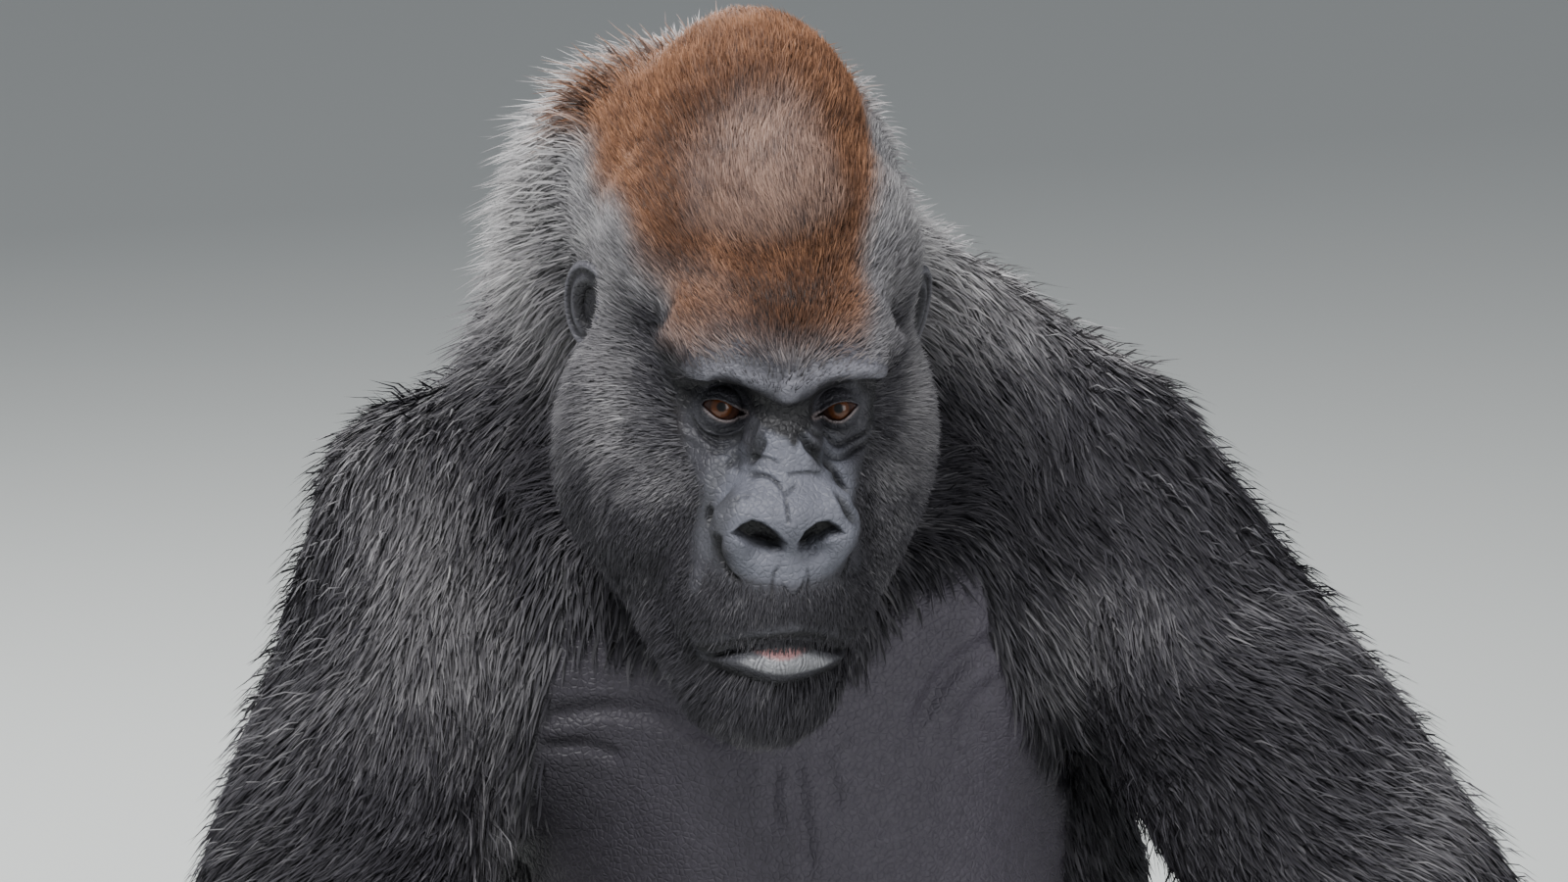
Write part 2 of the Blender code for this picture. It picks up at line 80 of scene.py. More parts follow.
BODY = head_middle - Vector((-0.015, -0.366, 0.8335))
SHOULDER = {"right": BODY + Vector((-0.213, -0.170, 0.682)), "left": BODY + Vector((0.195, -0.162, 0.708))}
ELBOW = {"right": BODY + Vector((-0.305, -0.405, 0.350)), "left": BODY + Vector((0.405, -0.405, 0.430))}
WRIST = {"right": BODY + Vector((-0.325, -0.665, 0.150)), "left": BODY + Vector((0.375, -0.640, 0.150))}
HIP = {"right": BODY + Vector((-0.065, 0.010, 0.155)), "left": BODY + Vector((0.185, 0.010, 0.155))}
KNEE = {"right": BODY + Vector((-0.275, -0.245, 0.235)), "left": BODY + Vector((0.395, -0.250, 0.235))}
ANKLE = {"right": BODY + Vector((-0.085, -0.450, 0.085)), "left": BODY + Vector((0.205, -0.450, 0.085))}

# ---------------------------------------------------------------- camera
# A long lens stands six metres off in front, a little above the animal's eyes, and looks down on the crown.
# The view is as wide as the shoulders and the bent arms.
CAMERA_REACH, CAMERA_TILT = 6.0, math.radians(12)
VIEW_WIDTH, FILM_WIDTH = 0.960, 36
view_middle = BODY + Vector((0.006, -0.45, 0.79))
backward = Vector((0, -math.cos(CAMERA_TILT), math.sin(CAMERA_TILT)))
camera_data = bpy.data.cameras.new("camera")
camera_data.sensor_width = FILM_WIDTH
camera_data.lens = FILM_WIDTH * CAMERA_REACH / VIEW_WIDTH
camera = bpy.data.objects.new("camera", camera_data)
camera.location = view_middle + backward * CAMERA_REACH
camera.rotation_mode = "QUATERNION"
camera.rotation_quaternion = (-backward).to_track_quat("-Z", "Y")
bpy.context.scene.collection.objects.link(camera)
bpy.context.scene.camera = camera

# ---------------------------------------------------------------- hide under the coat
# The skin is one sheet over the whole animal. It is drawn from the solids, which reach out to the tips of
# the hair, and then taken in by the depth of the coat: 13 mm on the nape and upper arms, and nothing on the
# muzzle and fingers.
GRAIN = 0.0042                # of the first sheet
SEAM = 0.0006                 # the solids are swollen by this, so that the thin gaps between them close
WELD = 1e-6
COAT_DEPTH = {"head": 8, "muzzle": 0, "lower_jaw": 1.5, "neck": 13, "chest": 2, "belly_and_rump": 11,
              "upper_arm": 13, "forearm": 11, "hand": 1.5, "fingers": 0, "thigh": 11, "shin": 9, "foot": 0.5}


def ramp(value, low, high):
    """Rises smoothly from 0 at low to 1 at high."""
    share = np.clip((value - low) / (high - low), 0, 1)
    return share * share * (3 - 2 * share)


def unit(vectors):
    """Directions, each of length 1."""
    return vectors / np.maximum(np.linalg.norm(vectors, axis=-1, keepdims=True), 1e-9)


def points_of(mesh):
    """The places of a mesh's points."""
    points = np.empty(len(mesh.vertices) * 3, np.float32)
    mesh.vertices.foreach_get("co", points)
    return points.reshape(-1, 3).astype(float)


def edges_of(mesh):
    """The pairs of points that a mesh's edges join."""
    pairs = np.empty(len(mesh.edges) * 2, np.int32)
    mesh.edges.foreach_get("vertices", pairs)
    return pairs.reshape(-1, 2)


def evened(values, pairs, rounds, share=0.5):
    """Values at the points of a sheet, each drawn towards the mean of its neighbours."""
    values = np.asarray(values, float).reshape(len(values), -1).copy()
    first, second = pairs.T
    count = np.maximum(np.bincount(pairs.ravel(), minlength=len(values)), 1)[:, None]
    share = np.reshape(share, (-1, 1))
    for _ in range(rounds):
        total = np.column_stack([np.bincount(first, column[second], len(values))
                                 + np.bincount(second, column[first], len(values)) for column in values.T])
        values += (total / count - values) * share
    return values


def put_points(mesh, points):
    """Moves the points of a mesh to new places."""
    mesh.vertices.foreach_set("co", points.astype(np.float32).ravel())
    mesh.update()


def sheet_normals(mesh, points):
    """Outward directions at the points of a mesh, once they are moved to new places."""
    put_points(mesh, points)
    normals = np.empty(len(points) * 3, np.float32)
    mesh.vertex_normals.foreach_get("vector", normals)
    return normals.reshape(-1, 3).astype(float)


def plain_name(node):
    """The name of a part without its side."""
    return node.removesuffix("_right").removesuffix("_left")


def swollen(node):
    """A copy of a solid with its corners welded, a little larger all round."""
    solid = bmesh.new()
    solid.from_mesh(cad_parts[node].data)
    bmesh.ops.remove_doubles(solid, verts=solid.verts, dist=WELD)
    solid.normal_update()
    for vertex in solid.verts:
        vertex.co += vertex.normal * SEAM
    copy = bpy.data.meshes.new(node + "_swollen")
    solid.to_mesh(copy)
    solid.free()
    return copy


def settled(thing):
    """The mesh of a piece as its modifiers leave it."""
    return bpy.data.meshes.new_from_object(thing.evaluated_get(bpy.context.evaluated_depsgraph_get()))


FLESH = sorted(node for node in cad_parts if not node.startswith(("eye", "ear")))
joined = bmesh.new()
owner_of_face = []
for node in FLESH:
    copy = swollen(node)
    joined.from_mesh(copy)
    owner_of_face += [node] * len(copy.polygons)
outline_tree = BVHTree.FromBMesh(joined)
for side in SIDES:
    joined.from_mesh(swollen("eye_" + side))
skin_mesh = bpy.data.meshes.new("skin")
joined.to_mesh(skin_mesh)
joined.free()
skin = bpy.data.objects.new("skin", skin_mesh)
bpy.context.scene.collection.objects.link(skin)
remesh = skin.modifiers.new("one sheet", "REMESH")
remesh.mode = "VOXEL"
remesh.voxel_size = GRAIN
hide_mesh = settled(skin)
skin.modifiers.clear()

hide_points = points_of(hide_mesh)
hide_pairs = edges_of(hide_mesh)
owner = np.array([owner_of_face[outline_tree.find_nearest(point)[2]] for point in hide_points])
kind_of = np.array([plain_name(node) for node in owner])
depth = np.array([COAT_DEPTH[kind] for kind in kind_of], float) / 1000

# The bare face: brows, sockets, nose, muzzle and lips, bounded by this ring in the head's centimetres.
BARE_FACE = ((-6.9, 3.2), (-6.2, 6.3), (-3.0, 7.4), (0.0, 6.4), (3.0, 7.4), (6.2, 6.3), (6.9, 3.2),
             (6.1, 0.0), (4.6, -2.6), (5.4, -6.4), (6.0, -9.8), (4.6, -12.6), (0.0, -13.8), (-4.6, -12.6),
             (-6.0, -9.8), (-5.4, -6.4), (-4.6, -2.6), (-6.1, 0.0))


def from_stretch(across, up, start, end):
    """How far each place lies from a straight stretch, and how far along it its nearest point is."""
    (x0, y0), (x1, y1) = start, end
    along = np.clip(((across - x0) * (x1 - x0) + (up - y0) * (y1 - y0))
                    / ((x1 - x0) ** 2 + (y1 - y0) ** 2), 0, 1)
    return np.hypot(across - x0 - along * (x1 - x0), up - y0 - along * (y1 - y0)), along


def inside_ring(across, up, ring):
    """How far inside a closed ring each place lies: negative outside."""
    ring = np.array(ring, float)
    nearest = np.full(len(across), np.inf)
    inside = np.zeros(len(across), bool)
    for (x0, y0), (x1, y1) in zip(ring, np.roll(ring, -1, axis=0)):
        nearest = np.minimum(nearest, from_stretch(across, up, (x0, y0), (x1, y1))[0])
        crosses = ((y0 > up) != (y1 > up)) & (across < (x1 - x0) * (up - y0) / (y1 - y0 + 1e-12) + x0)
        inside ^= crosses
    return np.where(inside, nearest, -nearest)


def bareness(points):
    """1 on the bare face, 0 under the coat."""
    across, ahead, up = in_head(points).T
    return ramp(inside_ring(across, up, BARE_FACE), -0.7, 0.5) * ramp(ahead, 4.5, 7.5)


def rounded(places, steps=5):
    """A drawn line of a few points, curved smoothly through them all."""
    p = np.array(places, float)
    p = np.vstack([2 * p[0] - p[1], p, 2 * p[-1] - p[-2]])
    t = np.linspace(0, 1, steps, endpoint=False)[:, None]
    spans = [(2 * b + (c - a) * t + (2 * a - 5 * b + 4 * c - d) * t ** 2
              + (3 * b - a - 3 * c + d) * t ** 3) / 2
             for a, b, c, d in zip(p, p[1:], p[2:], p[3:])]
    return np.vstack(spans + [p[-2:-1]])


def from_line(across, up, places):
    """How far each place lies from a drawn line, and a share that fades to nothing at its two ends."""
    path = rounded(places)
    nearest, share = np.full(len(across), np.inf), np.zeros(len(across))
    for number, (start, end) in enumerate(zip(path, path[1:])):
        far, along = from_stretch(across, up, start, end)
        closer = far < nearest
        nearest[closer], share[closer] = far[closer], (number + along[closer]) / (len(path) - 1)
    return nearest, ramp(np.minimum(share, 1 - share), -0.02, 0.18)


outline = evened(hide_points, hide_pairs, 6)
bare = bareness(outline)
depth = evened(depth, hide_pairs, 60)[:, 0] * (1 - bare)
TAKE_IN_STEPS = 6
hide = outline.copy()
for _ in range(TAKE_IN_STEPS):
    hide -= sheet_normals(hide_mesh, hide) * (depth / TAKE_IN_STEPS)[:, None]
    hide = evened(hide, hide_pairs, 2, share=0.5 * ramp(depth, 0, 0.004))
floor_level = hide_points[:, 2].min()
hide[:, 2] = np.maximum(hide[:, 2], floor_level)
hide_normals = sheet_normals(hide_mesh, hide)

# The bare chest, bounded by a ring in the head's centimetres, and its folds at the armpits and down the
# breastbone: depth, width and line.
BARE_CHEST = ((-10.2, -44.0), (-11.5, -29.0), (-11.0, -23.5), (-8.7, -20.5), (-5.2, -21.3), (0.0, -21.5),
              (5.0, -22.0), (8.5, -20.0), (10.3, -17.6), (12.5, -16.0), (15.7, -15.2), (18.8, -16.2),
              (19.0, -18.5), (21.8, -23.5), (24.3, -32.0), (23.0, -42.0), (14.0, -50.0), (0.0, -52.0))
CHEST_FOLDS = ((0.48, 0.70, ((-11.5, -27.5), (-8.5, -26.0), (-5.0, -25.4), (-2.0, -25.5), (1.0, -26.0))),
               (0.38, 0.60, ((-11.0, -29.0), (-8.0, -28.2), (-5.5, -28.6))),
               (0.50, 0.80, ((19.5, -19.0), (16.5, -20.2), (14.0, -22.0), (12.2, -25.5))),
               (0.30, 0.60, ((18.0, -22.0), (16.2, -23.5), (15.0, -26.0))),
               (0.42, 0.55, ((4.5, -26.0), (4.9, -27.9), (5.5, -30.8), (6.0, -33.4))),
               (0.34, 0.55, ((3.6, -26.2), (3.3, -28.4), (3.6, -31.0))),
               (0.30, 0.55, ((6.0, -25.8), (7.0, -27.5), (7.4, -29.5))),
               (0.25, 0.60, ((9.9, -18.8), (12.5, -16.8), (15.7, -15.8))))


def fold(far, width):
    """The section of a fold: 1 in its bed, and pinched up a little on both sides."""
    near = (far / width) ** 2
    return (1 - 0.75 * near) * np.exp(-near)


trunk = evened(np.isin(kind_of, ("chest", "belly_and_rump")), hide_pairs, 12)[:, 0]
on_chest = (ramp(inside_ring(*in_head(hide).T[[0, 2]], BARE_CHEST), -0.6, 1.2) * ramp(trunk, 0.5, 0.9)
            * ramp(-hide_normals[:, 1], -0.25, 0.25))
for deep, width, line in CHEST_FOLDS:
    far, fade = from_line(*in_head(hide).T[[0, 2]], line)
    hide -= hide_normals * (deep * fade * fold(far, width) * on_chest / 100)[:, None]
hide_normals = sheet_normals(hide_mesh, hide)

# Plain stretches need few faces, while the face, chest, hands and feet keep theirs.
PLAIN_SHARE = 0.10
fine = np.isin(kind_of, ("hand", "fingers", "foot")) | (bare > 0.02) | (on_chest > 0.4)
skin.data = hide_mesh.copy()
plain = skin.vertex_groups.new(name="plain")
plain.add([int(index) for index in np.flatnonzero(~fine)], 1.0, "REPLACE")
collapse = skin.modifiers.new("fewer faces", "DECIMATE")
collapse.ratio = fine.mean() + (1 - fine.mean()) * PLAIN_SHARE
collapse.vertex_group = "plain"
skin.data = settled(skin)
skin.modifiers.clear()
skin.vertex_groups.clear()

# ---------------------------------------------------------------- face
# The bare face is the same sheet, split finer: a heavy brow over black sockets, lids round the eyeballs,
# pouches and folds under the eyes, a creased bridge, a padded nose with deep nostrils, and soft lips.
EYE_RADIUS = 0.0120
GAZE_SIDE, GAZE_UP = math.radians(-10), math.radians(31)
LID = 0.13                    # thickness of a lid, and below all widths and places are in centimetres
# each eye's opening, in eyeball radii to the animal's left and up from the middle of its gaze
OPENING = {"right": ((-0.98, 0.13), (-0.80, 0.32), (-0.36, 0.38), (0.07, 0.29), (0.64, 0.02),
                     (1.24, -0.30), (0.90, -0.42), (0.66, -0.59), (0.30, -0.66), (-0.10, -0.60),
                     (-0.44, -0.40), (-0.76, -0.12)),
           "left": ((1.02, 0.20), (0.76, 0.30), (0.36, 0.34), (-0.12, 0.25), (-0.54, 0.04), (-0.90, -0.22),
                    (-1.24, -0.48), (-0.80, -0.34), (-0.38, -0.58), (0.12, -0.60), (0.53, -0.33),
                    (0.82, 0.00))}
BROW = ((-5.5, 5.0), (-4.9, 5.7), (-3.7, 6.0), (-2.0, 5.6), (-0.4, 5.3), (1.2, 5.8), (3.0, 6.3), (4.8, 6.1),
        (5.7, 5.3))
UNDER_BROW = ((-5.6, 2.6), (-5.0, 3.6), (-3.9, 4.1), (-2.4, 3.8), (-1.2, 3.4), (-0.1, 3.3), (1.3, 3.6),
              (2.8, 4.3), (4.4, 4.6), (5.4, 4.0), (5.9, 2.9))
MOUTH = ((-4.4, -12.1), (-3.35, -11.37), (-2.57, -10.77), (-1.51, -10.14), (-0.4, -9.69), (0.49, -9.52),
         (1.61, -9.84), (2.89, -10.55), (4.23, -11.42), (5.0, -12.0))
LIP_EDGE = ((-3.5, -11.5), (-2.53, -11.4), (-1.84, -11.5), (-0.82, -11.6), (0.37, -11.7), (1.69, -11.8),
            (2.9, -11.85), (4.3, -11.65))
NOSTRILS = (((-3.6, -2.62), (-3.03, -1.95), (-2.4, -1.62), (-1.7, -1.72), (-0.85, -2.2), (-0.15, -3.0),
             (-0.25, -3.8), (-1.0, -4.0), (-1.9, -3.75), (-2.9, -3.05)),
            ((0.45, -3.0), (0.8, -2.1), (1.5, -1.65), (2.3, -1.6), (2.95, -1.95), (3.35, -2.5), (2.5, -2.75),
             (1.9, -3.3), (1.35, -3.85), (0.62, -3.8)))
# swellings and hollows: height, width and the line they follow
SWELLS = ((0.15, 0.85, BROW), (-0.42, 0.75, UNDER_BROW), (0.12, 0.55, ((-0.3, 4.7), (-0.2, 5.6))),
          (0.20, 0.35, ((-5.0, 1.0), (-4.2, 0.45), (-3.3, 0.5), (-2.5, 1.1))),
          (0.22, 0.38, ((1.9, 1.9), (2.8, 0.8), (3.8, 0.45), (4.8, 0.5), (5.6, 0.9))),
          (0.18, 0.27, ((-5.8, -0.05), (-5.2, -0.15), (-4.4, -0.3))),
          (0.18, 0.32, ((1.3, 1.0), (2.5, -0.55), (3.9, -0.95), (5.4, -1.0))),
          (0.16, 0.85, ((-2.8, -1.3), (-1.5, -0.9))),
          (0.16, 0.85, ((0.9, -0.9), (2.3, -1.1))),
          (0.22, 0.80, ((-3.3, -3.7), (-2.4, -4.5), (-1.2, -4.8))),
          (0.22, 0.80, ((1.4, -4.7), (2.6, -4.3), (3.6, -3.3))),
          (0.14, 0.35, ((-4.3, -2.1), (-4.6, -4.2), (-4.8, -6.0), (-5.2, -7.4))),
          (0.12, 0.35, ((4.2, -2.2), (5.0, -4.2), (5.3, -6.2))),
          (0.16, 0.42, ((0.1, -4.5), (0.35, -5.3), (0.5, -5.9))),
          (0.20, 0.55, ((-3.6, -10.3), (-1.8, -9.2), (0.4, -8.7), (2.4, -9.3), (4.4, -10.4))),
          (0.34, 0.70, ((-3.0, -11.6), (-1.4, -11.2), (0.4, -11.0), (2.0, -11.3), (3.8, -11.9))),
          (-0.34, 0.50, ((-3.2, -13.1), (-1.3, -13.2), (0.4, -13.3), (2.1, -13.4), (4.0, -13.6))))
# folds, each pinched up on both sides: depth, width and line
FOLDS = ((0.55, 0.20, MOUTH),
         (0.22, 0.14, ((-5.27, 1.35), (-4.9, 0.6), (-4.16, 0.21), (-3.32, 0.27), (-2.42, 0.89), (-2.07, 1.9),
                       (-1.8, 2.8))),
         (0.18, 0.13, ((-5.3, 0.7), (-4.7, 0.1), (-3.9, -0.12), (-3.06, 0.08), (-2.3, 0.8), (-1.75, 1.9),
                       (-1.3, 2.8))),
         (0.14, 0.11, ((-4.5, -0.5), (-3.66, -0.3), (-2.9, -0.1), (-2.3, 0.5))),
         (0.30, 0.19, ((-3.5, -0.95), (-2.95, -0.35), (-2.3, 0.4), (-1.7, 1.4), (-1.4, 2.1))),
         (0.15, 0.12, ((-3.0, -0.8), (-2.4, 0.05), (-1.95, 0.8))),
         (0.07, 0.09, ((-4.8, 0.95), (-4.1, 0.62), (-3.3, 0.66), (-2.6, 1.2))),
         (0.22, 0.14, ((0.92, 3.0), (1.95, 1.75), (3.23, 0.21), (4.36, -0.05), (5.5, 0.1), (6.3, 0.5))),
         (0.20, 0.14, ((0.6, 2.8), (1.53, 1.5), (2.98, -0.2), (4.09, -0.5), (5.38, -0.55), (6.3, -0.2))),
         (0.34, 0.20, ((0.34, 2.7), (0.98, 2.0), (1.92, 0.8), (2.9, -0.6), (3.72, -1.6), (4.3, -2.4))),
         (0.15, 0.12, ((0.72, 2.0), (1.4, 1.2), (2.3, 0.0), (2.9, -0.9))),
         (0.07, 0.09, ((2.0, 2.2), (2.9, 1.1), (3.8, 0.72), (4.8, 0.8))),
         (0.15, 0.11, ((-2.3, 0.35), (-1.9, 0.85), (-1.3, 1.05), (-0.55, 0.95))),
         (0.20, 0.13, ((-2.9, -0.9), (-2.4, -0.35), (-1.9, 0.05), (-1.3, 0.18), (-0.8, 0.0),
                       (-0.35, -0.35))),
         (0.14, 0.11, ((-0.3, 0.4), (0.5, 0.5), (1.4, 0.35), (2.1, -0.1))),
         (0.12, 0.11, ((-0.6, -0.42), (-0.1, -0.25), (0.4, 0.02))),
         (0.17, 0.14, ((-0.4, -0.4), (-0.35, -0.9), (-0.25, -1.6))),
         (0.34, 0.24, ((-4.15, -2.9), (-4.2, -3.7), (-3.95, -4.7), (-3.4, -5.6), (-2.6, -6.0))),
         (0.30, 0.22, ((4.45, -2.9), (4.55, -3.9), (4.35, -5.2), (3.6, -6.1))),
         (0.14, 0.12, ((-0.45, -4.6), (-0.8, -5.3), (-0.85, -6.1), (-0.8, -6.9))),
         (0.12, 0.12, ((1.15, -4.7), (1.35, -5.4), (1.3, -6.1), (1.4, -6.9))),
         (0.12, 0.12, ((-0.35, -5.5), (0.1, -6.2), (0.55, -6.35), (1.0, -5.8), (1.15, -5.2))),
         (0.10, 0.10, ((-0.84, 6.2), (-0.3, 5.9), (0.11, 5.95), (0.6, 6.25))),
         (0.08, 0.09, ((-0.8, 6.1), (-0.95, 5.4), (-0.9, 4.8))))


def lower_lip(across, up):
    """How far inside the bare lower lip each place lies."""
    return inside_ring(across, up, np.vstack([rounded(MOUTH[1:-1]), rounded(LIP_EDGE)[::-1]]))


def split_finer(mesh, chosen):
    """Splits into four the faces whose points are all chosen."""
    sheet = bmesh.new()
    sheet.from_mesh(mesh)
    sheet.verts.ensure_lookup_table()
    split = [edge for edge in sheet.edges if chosen[edge.verts[0].index] and chosen[edge.verts[1].index]]
    bmesh.ops.subdivide_edges(sheet, edges=split, cuts=1, use_grid_fill=True)
    sheet.to_mesh(mesh)
    sheet.free()


level_gaze = SIDEWAYS * math.sin(GAZE_SIDE) + FORWARD * math.cos(GAZE_SIDE)
gaze = level_gaze * math.cos(GAZE_UP) + UPWARD * math.sin(GAZE_UP)
gaze_left = (SIDEWAYS - gaze * gaze.dot(SIDEWAYS)).normalized()
gaze_up = gaze.cross(gaze_left)
if gaze_up.dot(UPWARD) < 0:
    gaze_up = -gaze_up
GAZE_AXES = np.array([gaze_left, gaze_up, gaze])


def in_gaze(points, side):
    """Points in centimetres to the left, up and out along the gaze of one eye."""
    return (points - np.array(eye_centre[side])) @ GAZE_AXES.T * 100


def near_eye(points, reach):
    """True at the points round the two eyeballs, a little further out to each side than up and down."""
    near = np.zeros(len(points), bool)
    for side in SIDES:
        left, rise, out = in_gaze(points, side).T
        near |= (np.hypot(left / 1.15, rise) < reach) & (out > -0.6)
    return near


def face_details(points, reach):
    """Where the finest folds lie: eyes, nostrils and mouth."""
    across, ahead, up = in_head(points).T
    near = near_eye(points, reach + 1.15)
    for ring in NOSTRILS:
        near |= inside_ring(across, up, ring) > -reach
    near |= from_line(across, up, MOUTH)[0] < reach + 0.25
    near |= from_line(across, up + 0.75, MOUTH)[0] < reach + 0.35
    return near & (ahead > 8)


# The face is split three times, the last time only round the eyes, nostrils and mouth. After each, this many
# rounds smooth the sheet and swell it back as much.
SMOOTHING = (14, 5, 1)
FINEST = 0.45
for level, rounds in enumerate(SMOOTHING):
    points = points_of(skin.data)
    split_finer(skin.data, bareness(points) > 0.02 if level < 2 else face_details(points, FINEST))
    points = points_of(skin.data)
    pairs = edges_of(skin.data)
    give = ramp(bareness(points), 0, 0.3)
    for _ in range(rounds):
        points = evened(evened(points, pairs, 1, share=0.5 * give), pairs, 1, share=-0.5 * give)
    points = evened(points, pairs, 3, share=0.5 * give)
    put_points(skin.data, points)

out = sheet_normals(skin.data, points)
shallow = bareness(points)
out = unit(evened(out, pairs, 30, share=0.5))
across, ahead, up = in_head(points).T
on_face = np.flatnonzero(shallow > 0.001)
x, y = across[on_face], up[on_face]
# the second of these gathers the beds of the folds, which the skin's colour darkens as painted shade
raise_by, crease_shade = np.zeros(len(on_face)), np.zeros(len(on_face))
faces_on = ramp(out[on_face] @ np.array(FORWARD), 0.05, 0.40)        # steep walls take no folds
for height, width, line in SWELLS:
    far, _ = from_line(x, y, line)
    raise_by += height * np.exp(-(far / width) ** 2)
for deep, width, line in FOLDS:
    far, fade = from_line(x, y, line)
    raise_by -= deep * fade * faces_on * fold(far, width)
    crease_shade += deep * fade * faces_on * np.exp(-(far / width) ** 2 * 1.4)
LIP_GROOVES = 0.022
lip_lines = (np.sin(x * 27 + 2.5 * np.sin(x * 2.9 + y * 2.3) + 1.5 * np.sin(x * 7 - y * 3))
             * (0.6 + 0.4 * np.sin(x * 5.1 + 1)) * ramp(lower_lip(x, y), -0.1, 0.2))
raise_by += LIP_GROOVES * lip_lines
points[on_face] += out[on_face] * (raise_by * shallow[on_face])[:, None] / 100
NOSTRIL_DEPTH = 0.011
inside_nose = np.zeros(len(on_face))
for ring in NOSTRILS:
    inside_nose = np.maximum(inside_nose, ramp(inside_ring(x, y, ring), -0.12, 0.42))
points[on_face] -= np.array(FORWARD * 0.9 + UPWARD * 0.1) * (inside_nose * NOSTRIL_DEPTH)[:, None]

# The lids are drawn over each ball, and the skin inside their opening sinks in behind it.
ROUND_EYE, FAR_OUTSIDE = 2.4, -9
BEHIND_BALL, RIM_ROLL, LID_CREASE = 0.22, 0.045, 0.06
ball = EYE_RADIUS * 100
in_opening = np.zeros(len(points))
lid_rim = np.zeros(len(points))
for side in SIDES:
    ring = rounded(OPENING[side] + OPENING[side][:1], 4)[:-1] * EYE_RADIUS * 100
    left, rise, forth = in_gaze(points, side).T
    across_ball = np.hypot(left, rise)
    near = (across_ball < ROUND_EYE) & (forth > -0.8)
    inside = np.where(near, inside_ring(left, rise, ring), FAR_OUTSIDE)
    over_ball = (np.sqrt(np.clip((ball + LID) ** 2 - across_ball ** 2, 0.02, None))
                 - 0.9 * np.maximum(across_ball - ball, 0))
    drawn_over = ramp(-across_ball, -ball - 0.75, -ball + 0.15) * near
    forth_lid = forth + (over_ball - forth) * drawn_over * np.where(over_ball > forth, 1.0, 0.85)
    sunk = np.sqrt(np.clip(ball ** 2 - across_ball ** 2, 0.0, None)) - BEHIND_BALL
    sunk = np.where(across_ball > ball * 0.93, np.minimum(over_ball - 0.25, sunk + 0.05), sunk)
    gap = ramp(inside, -0.03, 0.07)
    forth_new = forth_lid * (1 - gap) + np.minimum(sunk, forth_lid) * gap
    rim = np.exp(-((inside + 0.09) / 0.085) ** 2) * near
    forth_new += RIM_ROLL * rim
    forth_new -= LID_CREASE * np.exp(-((inside + 0.32) / 0.09) ** 2) * near
    points += GAZE_AXES[2] * ((forth_new - forth) * near)[:, None] / 100
    in_opening = np.maximum(in_opening, gap * near)
    lid_rim = np.maximum(lid_rim, rim * ramp(-rise + 0.1 * left, -0.15, 0.2))
put_points(skin.data, points)
skin.data.shade_smooth()
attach(skin, "root")
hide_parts(*FLESH)

# ---------------------------------------------------------------- lie, length and colour of the hair
# Hair runs up and back over the head from the brow, down the nape, back and legs, down the upper arm and up
# the forearm to meet at the elbow, sweeping outwards on its way. It is rust on the crown, grey at the
# temples, and silver on the nape and saddle. Lengths are in millimetres, and lifts off the skin in degrees.
HAIR_LENGTH = {"head": 15, "muzzle": 6, "lower_jaw": 15, "neck": 30, "chest": 24, "belly_and_rump": 32,
               "upper_arm": 31, "forearm": 34, "hand": 11, "fingers": 4, "thigh": 38, "shin": 34, "foot": 7}
HAIR_LIFT = {"head": 30, "muzzle": 24, "lower_jaw": 34, "neck": 20, "chest": 14, "belly_and_rump": 16,
             "upper_arm": 10, "forearm": 10, "hand": 12, "fingers": 10, "thigh": 16, "shin": 16, "foot": 12}


def along_limb(points, start, end):
    """How far along a limb each point is, from 0 at its start to 1 at its end."""
    reach = np.array(end - start)
    return np.clip((points - np.array(start)) @ reach / (reach @ reach), 0, 1)


MIDDLE_OF_BROW = (0, 13.5, 1.0)
ARM_SWEEP = {"right": 1.25, "left": 0.55}
across, ahead, up = in_head(hide).T
from_brow = hide - from_head([MIDDLE_OF_BROW])
lie = np.zeros_like(hide)
lie[:] = (0, 0.15, -1)
on_head = np.isin(kind_of, ("head", "muzzle", "lower_jaw"))
lie[on_head] = (unit(from_brow) - np.array(UPWARD) * 0.7 * ramp(-up, -3, 3)[:, None])[on_head]
lie[kind_of == "neck"] = unit(np.array([0, 0.75, -0.65]))
for side, sign in SIDES.items():
    outward = np.array([sign, 0.35, 0.0])
    arm = owner == "upper_arm_" + side
    share = along_limb(hide, SHOULDER[side], ELBOW[side])[:, None]
    swept = outward * ramp(share, 0.15, 1.0) * ARM_SWEEP[side]
    lie[arm] = (unit(np.array(ELBOW[side] - SHOULDER[side])) + swept)[arm]
    arm = owner == "forearm_" + side
    lie[arm] = unit(np.array(ELBOW[side] - WRIST[side])) * 0.7 + outward * 0.8
    for part, start, end in (("thigh_", HIP, KNEE), ("shin_", KNEE, ANKLE)):
        lie[owner == part + side] = unit(np.array(end[side] - start[side]))
    lie[owner == "hand_" + side] = (0, -0.5, -0.8)
    lie[owner == "foot_" + side] = (0, -1.0, -0.1)
lie = evened(unit(lie), hide_pairs, 70)
lie = unit(lie - hide_normals * np.sum(lie * hide_normals, axis=1, keepdims=True))
hair_length = evened([HAIR_LENGTH[kind] / 1000 for kind in kind_of], hide_pairs, 50)[:, 0]
hair_lift = evened([math.radians(HAIR_LIFT[kind]) for kind in kind_of], hide_pairs, 50)[:, 0]
brow_short = np.exp(-((up - 8.0) / 3.0) ** 2) * on_head * ramp(ahead, 4, 9)
hair_length *= 1 - 0.45 * brow_short
nape_fluff = evened(kind_of == "neck", hide_pairs, 20)[:, 0] * ramp(-across, 3, 9) * ramp(-ahead, 2, 9)
hair_length *= 1 + 0.7 * nape_fluff
hair_lift += math.radians(17) * nape_fluff

WAVE_COUNT = 26
WAVES = unit(np.random.default_rng(5).normal(size=(WAVE_COUNT, 3)))
WAVE_PACES = np.random.default_rng(6).uniform(0.55, 1.6, WAVE_COUNT)


